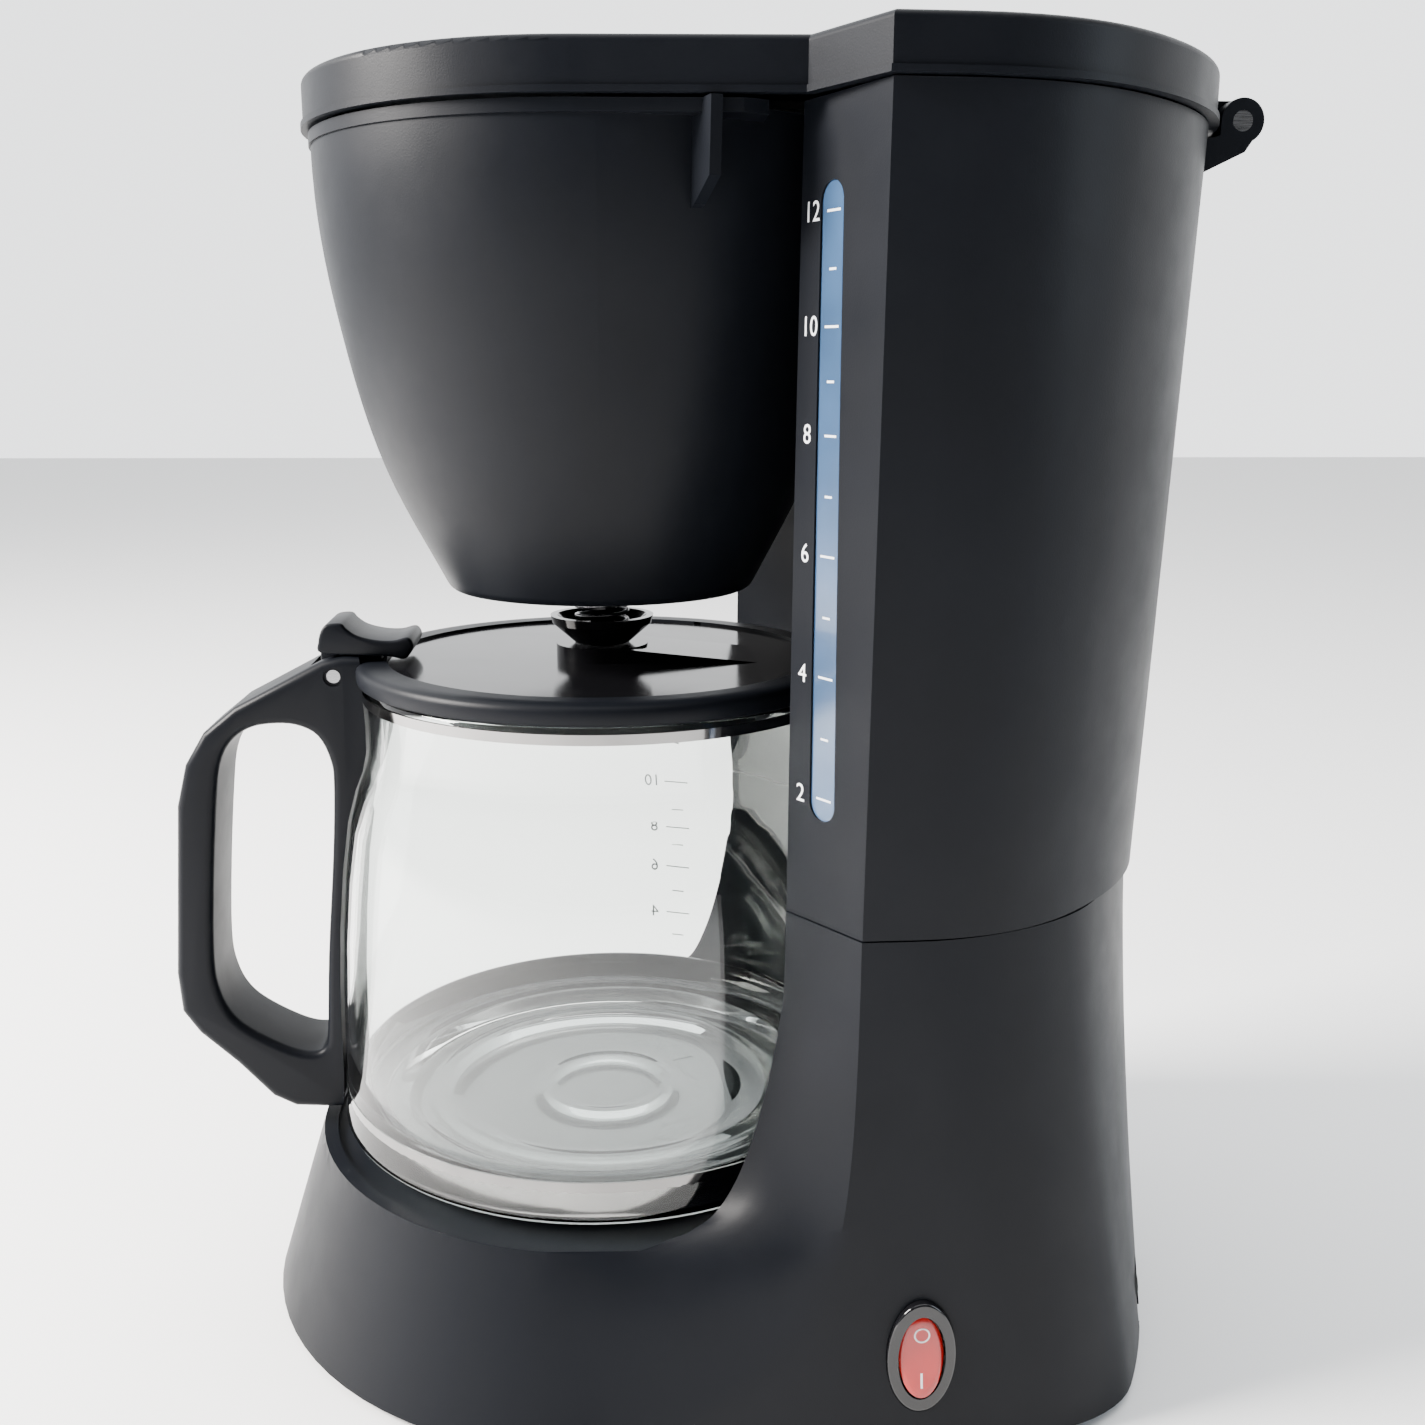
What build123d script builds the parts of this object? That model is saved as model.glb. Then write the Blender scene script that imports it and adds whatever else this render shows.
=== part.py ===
from build123d import *
from math import acos, atan2, cos, degrees, exp, hypot, pi, radians, sin, sqrt
import os

os.makedirs("parts", exist_ok=True)

# Drip coffee maker. Millimetres, +Z up, front (the jug handle) towards -Y, tank tower at +Y.
# Everything is drawn about the jug axis, then moved so that the origin is the middle of the
# bounding box on the surface that the feet stand on.

# ---- driving sizes -------------------------------------------------------------------------
WALL = 2.5                  # housing wall
SHUT = 0.4                  # gap along shut lines and round fixed inserts
MOVE = 0.3                  # gap between pieces that move past each other
RUN = 0.05                  # radial play of a pin in a turning bore

BASE_Z = 2.5                # lower edge of the base housing, above the table
RIM_Z = 46.5                # top of the ring round the hot plate
SEAM_Z = 127.0              # joint between base housing and tower
TOWER_Z = 306.7             # top of the tower wall
LID_Z = TOWER_Z + SHUT      # lower edge of the lid band
TOP_Z = LID_Z + 11.4        # top of the lid

BAY_R = 79.7                # concave bay that the jug stands in
SKIRT_R = 93.4              # skirt at the table
SIDE_BASE, SIDE_SEAM, SIDE_TOP = SKIRT_R + 0.2, 88.5, 96.5      # half width of the side panels
REAR_BASE, REAR_SEAM, REAR_TOP = 151.4, 142.9, 148.3   # rear face, from the jug axis
CORNER_Y = 57.0             # crease between side panel and chamfer
CREASE_START_Y = 7.0        # where that crease leaves the skirt, at the table
CREASE_RISE = 20.0          # how fast the crease sweeps back as it climbs
CHEEK_SWEEP = 64.0          # height over which the cheek swings from skirt to chamfer
CHEEK_END_R = 3.2           # tangent circle of the chamfer at the seam
TOWER_FRONT_Y = 18.0        # how far back that circle has moved at the tower's top
FLARE_POWER = 1.33

DECK_T = 4.0                # deck under the ring
RIM_W = 3.7                 # width of the raised ring
RIM_H = 1.5                 # its height over the deck
PLATE_R = 64.0
PLATE_T = 1.0
PLATE_TOP = 47.7
FOOT_R = 7.5
COVER_T = 2.0
BOSS_R = 4.0
SCREW_R = 1.6
SCREW_HEAD_R = 3.4
SCREW_HEAD_H = 1.8

JUG_Z = PLATE_TOP + MOVE    # underside of the glass
GLASS = 2.6
JUG_FOOT_R = 73.7
JUG_BODY_R = 72.8
JUG_RIM_R, JUG_RIM_Z = 63.2, 171.2
JUG_SHOULDER_R, JUG_SHOULDER_Z = 65.8, JUG_RIM_Z - 28.6
JUG_NECK_R, JUG_NECK_Z = 62.5, JUG_RIM_Z - 18.2
BAND_Z, BAND_H, BAND_T = 52.0, 9.0, 0.6         # polished band above the glass foot
NECK_BAND_Z, NECK_BAND_H, NECK_BAND_T = JUG_RIM_Z - 4.2, 2.6, 0.7

JUG_LID_Z = JUG_RIM_Z + MOVE
JUG_LID_TOP = JUG_RIM_Z + 5.8
JUG_LID_R = 65.2
JUG_LID_WELL_R = 57.0
JUG_LID_FLOOR_TOP = JUG_LID_TOP - 0.8
JUG_LID_T = 2.0
BOSS_TOP = JUG_LID_TOP + 3.0
LID_BOSS_R = 12.3
RAMP_END_Y = 50.0
JUG_PIN_Y, JUG_PIN_Z, JUG_PIN_R = -70.0, JUG_RIM_Z + 2.2, 1.8
HANDLE_W = 24.0
HANDLE_GAP = 0.15
HANDLE_ROUND = 2.4
THUMB_SLOT_W = 13.0
HANDLE_REACH = 116.5
THUMB_W = 21.0

BASKET_Z = BOSS_TOP + 15.4  # underside of the filter basket
BASKET_R = 69.5
BASKET_FLOOR_R = 39.5
BASKET_T = 2.2
BASKET_TOP = TOWER_Z - 0.4
FLANGE_T = 2.8
FLANGE_OUT = 0.6
PIVOT_X, PIVOT_Y, PIVOT_PIN_R = -74.0, 38.0, 2.5
LUG_R = 5.5
# levels that part the lower tower lug, the basket lug and the upper tower lug
LUG_Z = [BASKET_TOP - down for down in (44.3, 34.3, 14.3, 6.7)]
TAB_ANGLE, TAB_T, TAB_REACH, TAB_H = 18.0, 2.6, 14.5, 20.5

VALVE_STEM_R = 3.2
VALVE_HOLE_R = 4.4
VALVE_CUP_R = 13.8
VALVE_CUP_TOP = BOSS_TOP + 7.6
VALVE_Z = BOSS_TOP + MOVE
SPRING_R, SPRING_WIRE_R, SPRING_TURNS = 6.8, 0.55, 4
SPRING_SEAT_H = 1.6

HINGE_Y, HINGE_Z, HINGE_R, HINGE_PIN_R = REAR_TOP + 4.5, LID_Z + 2.4, 5.2, 2.4
EAR_IN, EAR_OUT, KNUCKLE_W = 28.0, 33.0, 7.5
LID_FRONT_R = 71.0
LID_NOTCH = (74.5, 43.5)
LID_SIDE_OUT = 1.5          # lid band outside the tower wall
LID_T = 2.2
BEAD_OUT, BEAD_H = 0.6, 1.4

GAUGE_W = 8.4
GAUGE_LOW, GAUGE_HIGH = SEAM_Z + 25.0, TOWER_Z - 16.7
GAUGE_SHARE = 0.40          # across the chamfer, from the bay edge
GAUGE_SUNK = 0.5

SWITCH_Y, SWITCH_Z = 73.0, 24.3
BEZEL_W, BEZEL_H, BEZEL_PROUD = 16.6, 28.8, 1.2
BEZEL_SUNK = 0.8
ROCKER_W, ROCKER_H = 10.8, 20.8
ROCKER_TILT = 7.0
SWITCH_BODY_D = 17.0

TUBE_R, TUBE_BORE = 4.1, 3.1
SHEATH_R = 3.6
SHEATH_LOOP_R, TUBE_LOOP_R = 40.0, 51.0
LOOP_OPEN = 50.0            # half angle left open at the rear of the heater loop
HOSE_R, HOSE_BORE = 6.2, 4.2
BARB_R = HOSE_BORE - 0.05
TUBE_Z = 38.0
LEG_END_Y = 88.0
SHEATH_END_Y = 66.0
SPREADER_R, SPREADER_Z = 56.0, 42.2
RISER_Y = 93.0
INLET_X, INLET_Y = -30.0, 105.0
SPOUT_Z = LID_Z + 4.0
SPOUT_R, SPOUT_BORE = 4.4, 3.2

GLAND_X, GLAND_Z, GLAND_R, GLAND_BORE = 50.0, 13.6, 6.0, 3.6

ORIGIN_Y = (HINGE_Y + HINGE_R - HANDLE_REACH) / 2

parts = {}


def node(name, shape):
    """Keep a finished piece, moved from the jug axis to the object's own origin."""
    parts[name] = Pos(0, -ORIGIN_Y, 0) * shape


def group(pieces):
    """Several separate solids kept as one node."""
    return Compound(list(pieces))


def disc(radius, z0, z1, x=0.0, y=0.0):
    return Pos(x, y, z0) * Cylinder(radius, z1 - z0, align=(Align.CENTER, Align.CENTER, Align.MIN))


def ring(outer, inner, z0, z1, x=0.0, y=0.0):
    return disc(outer, z0, z1, x, y) - disc(inner, z0, z1, x, y)


def block(x0, x1, y0, y1, z0, z1):
    return Pos((x0 + x1) / 2, (y0 + y1) / 2, (z0 + z1) / 2) * Box(x1 - x0, y1 - y0, z1 - z0)


def rod_x(radius, x0, x1, y, z):
    return Pos(x0, y, z) * Rot(0, 90, 0) * Cylinder(
        radius, x1 - x0, align=(Align.CENTER, Align.CENTER, Align.MIN))


def rod_y(radius, y0, y1, x, z):
    return Pos(x, y0, z) * Rot(-90, 0, 0) * Cylinder(
        radius, y1 - y0, align=(Align.CENTER, Align.CENTER, Align.MIN))


def turned(*edges):
    """Solid of revolution about the jug axis from edges drawn in the XZ plane."""
    return revolve(make_face(edges), Axis.Z)


def tangent_point(radius, target, centre_y=0.0):
    """Where a line from target touches the front of a circle centred at x = 0."""
    reach = hypot(target[0], target[1] - centre_y)
    angle = atan2(target[1] - centre_y, target[0]) - acos(radius / reach)
    return radius * cos(angle), centre_y + radius * sin(angle)


# ---- housing sections ----------------------------------------------------------------------
def housing_face(z, front_r, corner, side_end, bulge, rear, inset=0.0, front_y=0.0):
    """Plan of the housing: front arc, tangent line to the corner, side, rounded rear."""
    touch = tangent_point(front_r, corner, front_y)
    run = (corner[0] - touch[0], corner[1] - touch[1])
    shrink = (front_r - inset) / front_r
    start = (touch[0] * shrink, front_y + (touch[1] - front_y) * shrink)
    side = corner[0] - inset
    share = (side - start[0]) / run[0]
    knee = (side, start[1] + run[1] * share)
    end = (side, side_end[1])
    mid = (bulge[0] - 0.8 * inset, bulge[1] - 0.6 * inset)
    back = (0, rear - inset)
    r = front_r - inset
    middle = (atan2(start[1] - front_y, start[0]) - pi / 2) / 2
    edges = []
    for s in (1, -1):
        edges.append(ThreePointArc((0, front_y - r), (s * r * cos(middle), front_y + r * sin(middle)),
                                   (s * start[0], start[1])))
        edges.append(Line((s * start[0], start[1]), (s * knee[0], knee[1])))
        edges.append(Line((s * knee[0], knee[1]), (s * end[0], end[1])))
        edges.append(Spline([(s * end[0], end[1]), (s * mid[0], mid[1]), back],
                            tangents=[(0, 1), (-s, 0)]))
    return Pos(0, 0, z) * make_face(edges)


def mix(a, b, share):
    return a + (b - a) * share


def flare(z):
    return max(0.0, (SEAM_Z - z) / (SEAM_Z - BASE_Z)) ** FLARE_POWER


def front_radius(z):
    """Skirt cone below the ring, then the cheek's tangent circle, shrinking as it climbs."""
    if z <= RIM_Z:
        return mix(SKIRT_R, BAY_R, (z - BASE_Z) / (RIM_Z - BASE_Z))
    swing = sqrt(min(1.0, (z - RIM_Z) / CHEEK_SWEEP))
    return max(CHEEK_END_R, BAY_R * (1 - swing))


def base_face(z, inset=0.0):
    f = flare(z)
    crease = CORNER_Y - (CORNER_Y - CREASE_START_Y) * exp(-(z - BASE_Z) / CREASE_RISE)
    side = mix(SIDE_SEAM, SIDE_BASE, f)
    rear = mix(REAR_SEAM, REAR_BASE, f)
    return housing_face(z, front_radius(z), (side, crease), (side, rear - mix(74, 52, f)),
                        (side - mix(20.5, 15.6, f), rear - mix(28, 21, f)), rear, inset)


def tower_face(z, inset=0.0):
    f = (z - SEAM_Z) / (TOWER_Z - SEAM_Z)
    side = mix(SIDE_SEAM, SIDE_TOP, f)
    rear = mix(REAR_SEAM, REAR_TOP, f)
    return housing_face(z, CHEEK_END_R, (side, CORNER_Y), (side, rear - mix(74, 79, f)),
                        (side - mix(20.5, 19.5, f), rear - mix(28, 31.5, f)), rear, inset,
                        TOWER_FRONT_Y * f)


PANEL_X = mix(SIDE_SEAM, SIDE_BASE, flare(SWITCH_Z))
ROCKER_AXIS_X = PANEL_X - 4.5


def oval(width, height, x0, x1):
    plane = Plane((x0, SWITCH_Y, SWITCH_Z), x_dir=(0, 1, 0), z_dir=(1, 0, 0))
    return extrude(plane * Ellipse(width / 2, height / 2), x1 - x0)


def loft_levels(face_at, levels, inset=0.0):
    return loft([face_at(z, inset) for z in levels], ruled=True)


# ---- base housing --------------------------------------------------------------------------
BASE_LEVELS = [BASE_Z, 12.0, 26.0, RIM_Z, 50.0, 56.0, 66.0, 80.0, 98.0, SEAM_Z]
DECK_BOTTOM = RIM_Z - DECK_T
DECK_TOP = RIM_Z - RIM_H
PLATE_HOLE_R = PLATE_R - 4.0
SCREW_POSTS = [(s * x, y) for s in (1, -1) for x, y in ((52.0, -46.0), (64.0, 112.0))]
COVER_Z = BASE_Z + 0.5
COVER_TOP = COVER_Z + COVER_T


def base_shell():
    outer = loft_levels(base_face, BASE_LEVELS) - disc(BAY_R, RIM_Z, SEAM_Z + 1)
    hollow = loft_levels(base_face, BASE_LEVELS, WALL) - disc(BAY_R + WALL, DECK_BOTTOM, SEAM_Z + 1)
    shell = outer - hollow
    shell -= disc(BAY_R - RIM_W, DECK_TOP, RIM_Z + 1)
    shell -= disc(PLATE_HOLE_R, BASE_Z, RIM_Z)
    for x, y in SCREW_POSTS:
        top = DECK_BOTTOM + 0.5 if hypot(x, y) < BAY_R else SEAM_Z - 60
        post = disc(BOSS_R, COVER_TOP + 0.1, top, x, y) - disc(SCREW_R, COVER_TOP, COVER_TOP + 16, x, y)
        shell += post
        if y > 0:
            shell += block(x - 1.2, x + 1.2, y + BOSS_R - 0.5, y + 30, COVER_TOP + 0.1, top) & outer
    shell -= oval(BEZEL_W - 3.4, BEZEL_H - 3.4, PANEL_X - 10, PANEL_X + 10)
    shell -= oval(BEZEL_W + 0.2, BEZEL_H + 0.2, PANEL_X - BEZEL_SUNK, PANEL_X + 10)
    shell -= rod_y(GLAND_R, 100, 160, GLAND_X, GLAND_Z)
    shell -= block(GLAND_X - GLAND_R, GLAND_X + GLAND_R, 100, 160, BASE_Z - 1, GLAND_Z)
    return shell


def bottom_cover():
    inset = WALL + SHUT
    plate = Pos(0, 0, COVER_Z - COVER_TOP) * extrude(base_face(COVER_TOP, inset), COVER_T)
    for x, y in SCREW_POSTS:
        plate -= disc(SCREW_R + 0.2, COVER_Z - 1, COVER_TOP + 1, x, y)
    for k in range(7):
        y = -24.0 + 8.0 * k
        plate -= block(-26, 26, y - 1.5, y + 1.5, COVER_Z - 1, COVER_TOP + 1)
    plate -= block(GLAND_X - GLAND_R, GLAND_X + GLAND_R, 120, 160, COVER_Z - 1, COVER_TOP + 1)
    return plate


def feet():
    pieces = []
    for x, y in [(sx * 62.0, y) for sx in (1, -1) for y in (-34.0, 84.0)]:
        foot = disc(FOOT_R, 0, COVER_Z, x, y)
        pieces.append(fillet(foot.edges().group_by(Axis.Z)[0], 1.0))
    return group(pieces)


def screw(x, y, z, length, up=True):
    """Pan head screw standing up from z."""
    head = disc(SCREW_HEAD_R, z - SCREW_HEAD_H, z, x, y)
    head = fillet(head.edges().group_by(Axis.Z)[0], 0.6)
    head -= block(x - 2, x + 2, y - 0.4, y + 0.4, z - SCREW_HEAD_H - 1, z - SCREW_HEAD_H + 0.8)
    return head + disc(SCREW_R - 0.05, z, z + length, x, y)


def bottom_screws():
    return group([screw(x, y, COVER_Z, 15.0) for x, y in SCREW_POSTS])


# ---- hot plate and heater ------------------------------------------------------------------
def hot_plate():
    top = disc(PLATE_R, PLATE_TOP - PLATE_T, PLATE_TOP)
    top = fillet(top.edges().group_by(Axis.Z)[-1], 0.6)
    lip = ring(PLATE_R, PLATE_R - 1.0, DECK_TOP + 0.6, PLATE_TOP - PLATE_T)
    return top + lip


def bent_tube(radius, tube, leg_end):
    """Open ring under the plate with two straight legs to the rear."""
    start_x, start_y = radius * sin(radians(LOOP_OPEN)), radius * cos(radians(LOOP_OPEN))
    section = Plane((start_x, start_y, TUBE_Z), x_dir=(sin(radians(LOOP_OPEN)), cos(radians(LOOP_OPEN)), 0),
                    z_dir=(cos(radians(LOOP_OPEN)), -sin(radians(LOOP_OPEN)), 0)) * Circle(tube)
    body = revolve(section, Axis.Z, -(360 - 2 * LOOP_OPEN))
    for s in (1, -1):
        body += rod_y(tube, start_y, leg_end, s * start_x, TUBE_Z)
        body += Pos(s * start_x, start_y, TUBE_Z) * Sphere(tube)
    return body


WATER_X = TUBE_LOOP_R * sin(radians(LOOP_OPEN))
SHEATH_X = SHEATH_LOOP_R * sin(radians(LOOP_OPEN))


def hose(points, radii):
    path = FilletPolyline(*points, radius=radii)
    outer = sweep(Plane(origin=path @ 0, z_dir=path % 0) * Circle(HOSE_R), path)
    return outer - sweep(Plane(origin=path @ 0, z_dir=path % 0) * Circle(HOSE_BORE), path)


def hoses():
    reach = LEG_END_Y + 1.0
    cold = hose([(-WATER_X, reach - 8, TUBE_Z), (-WATER_X, reach + 18, TUBE_Z),
                 (INLET_X, INLET_Y, 74.0), (INLET_X, INLET_Y, SEAM_Z - 1)], [11.0, 17.0])
    hot = hose([(WATER_X, reach - 8, TUBE_Z), (WATER_X, reach + 18, TUBE_Z),
                (0, RISER_Y, 78.0), (0, RISER_Y, SEAM_Z - 1)], [11.0, 17.0])
    return cold, hot


def clamps():
    pieces = []
    for s in (1, -1):
        y = LEG_END_Y - 4.0
        pieces.append(rod_y(HOSE_R + 0.9, y, y + 5, s * WATER_X, TUBE_Z)
                     - rod_y(HOSE_R + 0.02, y - 1, y + 6, s * WATER_X, TUBE_Z))
    for x, y in ((INLET_X, INLET_Y), (0, RISER_Y)):
        pieces.append(ring(HOSE_R + 0.9, HOSE_R + 0.02, SEAM_Z - 9, SEAM_Z - 4, x, y))
    return group(pieces)


def thermostat():
    top = SPREADER_Z - 0.1
    body = disc(8.0, top - 7, top)
    for s in (1, -1):
        body += block(s * 6 - 3, s * 6 + 3, -2.5, 2.5, top - 9, top - 6.9)
    return body


def clamp_bridge():
    low, high = SPREADER_Z - 12.0, SPREADER_Z - 0.1
    bar = block(-33, 33, -6, 6, low, low + 1.4)
    for s in (1, -1):
        bar += block(s * 33 - 1, s * 33 + 1, -6, 6, low, high)
    return bar


def heat_spreader():
    plate = disc(SPREADER_R, SPREADER_Z, PLATE_TOP - PLATE_T - 0.1)
    return plate - ring(SPREADER_R + 1, SPREADER_R - 2.5, PLATE_TOP - PLATE_T - 2.0, PLATE_TOP)


def thermal_fuses():
    return group([rod_y(1.8, 50.0, 64.0, x, 31.5) for x in (-6.0, 6.0)])


def element_terminals():
    return group([block(s * SHEATH_X - 1.8, s * SHEATH_X + 1.8, SHEATH_END_Y, SHEATH_END_Y + 7,
                                    TUBE_Z - 0.4, TUBE_Z + 0.4) for s in (1, -1)])


# ---- tower and tank ------------------------------------------------------------------------
def chamfer_frame():
    """Middle of the gauge slot on the chamfer, facing out."""
    z = (GAUGE_LOW + GAUGE_HIGH) / 2
    f = (z - SEAM_Z) / (TOWER_Z - SEAM_Z)
    corner = (mix(SIDE_SEAM, SIDE_TOP, f), CORNER_Y)
    touch = tangent_point(CHEEK_END_R, corner, TOWER_FRONT_Y * f)
    length = hypot(corner[0] - touch[0], corner[1] - touch[1])
    along = ((corner[0] - touch[0]) / length, (corner[1] - touch[1]) / length)
    lean = touch[0] * along[0] + touch[1] * along[1]
    bay_edge = sqrt(lean ** 2 - hypot(*touch) ** 2 + BAY_R ** 2) - lean
    step = mix(bay_edge, length, GAUGE_SHARE)
    centre = (touch[0] + along[0] * step, touch[1] + along[1] * step, z)
    return Plane(centre, x_dir=(along[0], along[1], 0), z_dir=(along[1], -along[0], 0))


def gauge_prism():
    frame = chamfer_frame()
    slot = SlotOverall(GAUGE_HIGH - GAUGE_LOW, GAUGE_W, rotation=90)
    return extrude(frame * slot, 12.0, both=True)


TANK_FLOOR_Z = SEAM_Z + SHUT + WALL
TANK_FRONT_R = BAY_R + WALL
TOWER_LOW = SEAM_Z + SHUT


def tower_wall(inset=0.0):
    outer = loft([tower_face(z, inset) for z in (TOWER_LOW, TOWER_Z)], ruled=True)
    return outer - disc(BAY_R + inset, SEAM_Z - 1, TOWER_Z + 1)


def tank_hollow():
    inner = loft([tower_face(z, WALL) for z in (TANK_FLOOR_Z, TOWER_Z)], ruled=True)
    return inner - disc(TANK_FRONT_R, SEAM_Z - 1, TOWER_Z + 1)


def hinge_ear(x0, x1):
    ear = rod_x(HINGE_R, x0, x1, HINGE_Y, HINGE_Z)
    rear_wall = REAR_TOP - 9.0
    gusset = Polyline((HINGE_Y - HINGE_R, HINGE_Z), (HINGE_Y + HINGE_R, HINGE_Z - 0.5),
                      (HINGE_Y + 1, HINGE_Z - 7), (rear_wall, HINGE_Z - 14), (rear_wall, TOWER_Z - 3),
                      (HINGE_Y - HINGE_R, TOWER_Z - 0.5), (HINGE_Y - HINGE_R, HINGE_Z))
    web = extrude(Plane((x0, 0, 0), x_dir=(0, 1, 0), z_dir=(1, 0, 0)) * make_face(gusset), x1 - x0)
    return ear + web


def tower_shell():
    hollow = tank_hollow()
    shell = tower_wall() - hollow
    shell -= gauge_prism()
    for s in (1, -1):
        x0, x1 = sorted((s * EAR_IN, s * EAR_OUT))
        shell += hinge_ear(x0, x1) - hollow
    shell -= rod_x(HINGE_PIN_R, -EAR_OUT - 1, EAR_OUT + 1, HINGE_Y, HINGE_Z)
    arm_angle = 113.0
    for z0, z1 in (LUG_Z[:2], LUG_Z[2:]):
        z0, z1 = (z0, z1 - MOVE) if z0 == LUG_Z[0] else (z0 + MOVE, z1)
        lug = disc(LUG_R, z0, z1, PIVOT_X, PIVOT_Y)
        arm = Pos(PIVOT_X, PIVOT_Y, (z0 + z1) / 2) * Rot(0, 0, arm_angle) * Box(
            13, 9, z1 - z0, align=(Align.MIN, Align.CENTER, Align.CENTER))
        shell += (lug + arm) - hollow
        shell -= disc(PIVOT_PIN_R, z0 - 1, z1 + 1, PIVOT_X, PIVOT_Y)
    for x, y in ((INLET_X, INLET_Y), (0, RISER_Y)):
        shell += disc(BARB_R, SEAM_Z - 14, TANK_FLOOR_Z, x, y)
        shell -= disc(BARB_R - 1.2, SEAM_Z - 15, TANK_FLOOR_Z + 1, x, y)
    shell += ring(SPOUT_BORE - 0.05, BARB_R - 1.2, TANK_FLOOR_Z - 0.5, TANK_FLOOR_Z + 8, 0, RISER_Y)
    return shell


def gauge_window():
    strip = (tower_wall(GAUGE_SUNK) - tank_hollow()) & gauge_prism()
    return strip


def riser_and_spout():
    tube = ring(SPOUT_R, SPOUT_BORE, TANK_FLOOR_Z + 0.2, SPOUT_Z, 0, RISER_Y)
    tube += rod_y(SPOUT_R, -2, RISER_Y, 0, SPOUT_Z) + Pos(0, RISER_Y, SPOUT_Z) * Sphere(SPOUT_R)
    tube -= rod_y(SPOUT_BORE, -0.5, RISER_Y, 0, SPOUT_Z) + Pos(0, RISER_Y, SPOUT_Z) * Sphere(SPOUT_BORE)
    tube -= disc(SPOUT_BORE, TANK_FLOOR_Z, SPOUT_Z, 0, RISER_Y)
    tube -= disc(1.6, SPOUT_Z - SPOUT_R - 1, SPOUT_Z, 0, 3.0)
    return tube


# ---- lid -----------------------------------------------------------------------------------
def mitre(point, before, after, grow):
    """Corner moved out by grow where two edges with these directions meet."""
    n1, n2 = (before[1], -before[0]), (after[1], -after[0])
    scale = grow / (1 + n1[0] * n2[0] + n1[1] * n2[1])
    return point[0] + scale * (n1[0] + n2[0]), point[1] + scale * (n1[1] + n2[1])


def heading(a, b):
    length = hypot(b[0] - a[0], b[1] - a[1])
    return (b[0] - a[0]) / length, (b[1] - a[1]) / length


def lid_face(grow=0.0):
    """Plan of the lid: round over the basket, a notch each side, then the tower's outline."""
    side = SIDE_TOP + LID_SIDE_OUT
    corner = (side, CORNER_Y - 0.5)
    rear = REAR_TOP + LID_SIDE_OUT
    radius = LID_FRONT_R + grow
    first = heading(tangent_point(LID_FRONT_R, LID_NOTCH), LID_NOTCH)
    second = heading(LID_NOTCH, corner)
    notch = mitre(LID_NOTCH, first, second, grow)
    knee = mitre(corner, second, (0, 1), grow)
    touch = (radius * first[1], -radius * first[0])
    middle = (atan2(touch[1], touch[0]) - pi / 2) / 2
    edges = []
    for s in (1, -1):
        edges.append(ThreePointArc((0, -radius), (s * radius * cos(middle), radius * sin(middle)),
                                   (s * touch[0], touch[1])))
        edges.append(Line((s * touch[0], touch[1]), (s * notch[0], notch[1])))
        edges.append(Line((s * notch[0], notch[1]), (s * knee[0], knee[1])))
        edges.append(Line((s * knee[0], knee[1]), (s * knee[0], rear - 79)))
        edges.append(Spline([(s * knee[0], rear - 79),
                             (s * (side - 19.5 + 0.8 * grow), rear - 31.5 + 0.6 * grow),
                             (0, rear + grow)], tangents=[(0, 1), (-s, 0)]))
    return make_face(edges)


def lid():
    body = Pos(0, 0, LID_Z) * extrude(lid_face(), TOP_Z - LID_Z)
    body = fillet(body.edges().group_by(Axis.Z)[-1], 1.6)
    body += Pos(0, 0, LID_Z) * extrude(lid_face(BEAD_OUT), BEAD_H)
    body -= Pos(0, 0, LID_Z - 1) * extrude(lid_face(-LID_T), TOP_Z - LID_Z - LID_T + 1)
    for s in (1, -1):
        x0, x1 = sorted((s * (EAR_IN - MOVE), s * (EAR_IN - MOVE - KNUCKLE_W)))
        knuckle = rod_x(HINGE_R, x0, x1, HINGE_Y, HINGE_Z)
        knuckle += block(x0, x1, REAR_TOP - 5.5, HINGE_Y, LID_Z + 1.0, HINGE_Z + HINGE_R)
        body += knuckle
        x0, x1 = sorted((s * (EAR_IN - MOVE), s * (EAR_OUT + SHUT)))
        body -= rod_x(HINGE_R + SHUT, x0, x1, HINGE_Y, HINGE_Z)
        body -= block(x0, x1, HINGE_Y - HINGE_R - SHUT, HINGE_Y + HINGE_R, LID_Z - 1, HINGE_Z)
    body -= rod_x(HINGE_PIN_R + RUN, -EAR_OUT, EAR_OUT, HINGE_Y, HINGE_Z)
    return body


# ---- filter basket and drip valve ----------------------------------------------------------
def bowl(inset):
    floor = BASKET_Z + inset
    line = [(BASKET_FLOOR_R - inset, floor),
            (mix(BASKET_FLOOR_R, BASKET_R, 0.493) - inset, mix(BASKET_Z, BASKET_TOP, 0.267)),
            (mix(BASKET_FLOOR_R, BASKET_R, 0.827) - inset, mix(BASKET_Z, BASKET_TOP, 0.583)),
            (BASKET_R - inset, BASKET_TOP - FLANGE_T)]
    edges = [Line((0, 0, floor), (line[0][0], 0, floor)),
             Spline([(x, 0, z) for x, z in line], tangents=[(0.5, 0, 1), (0, 0, 1)]),
             Line((line[-1][0], 0, line[-1][1]), (line[-1][0], 0, BASKET_TOP)),
             Line((line[-1][0], 0, BASKET_TOP), (0, 0, BASKET_TOP)),
             Line((0, 0, BASKET_TOP), (0, 0, floor))]
    return turned(*edges)


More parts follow.
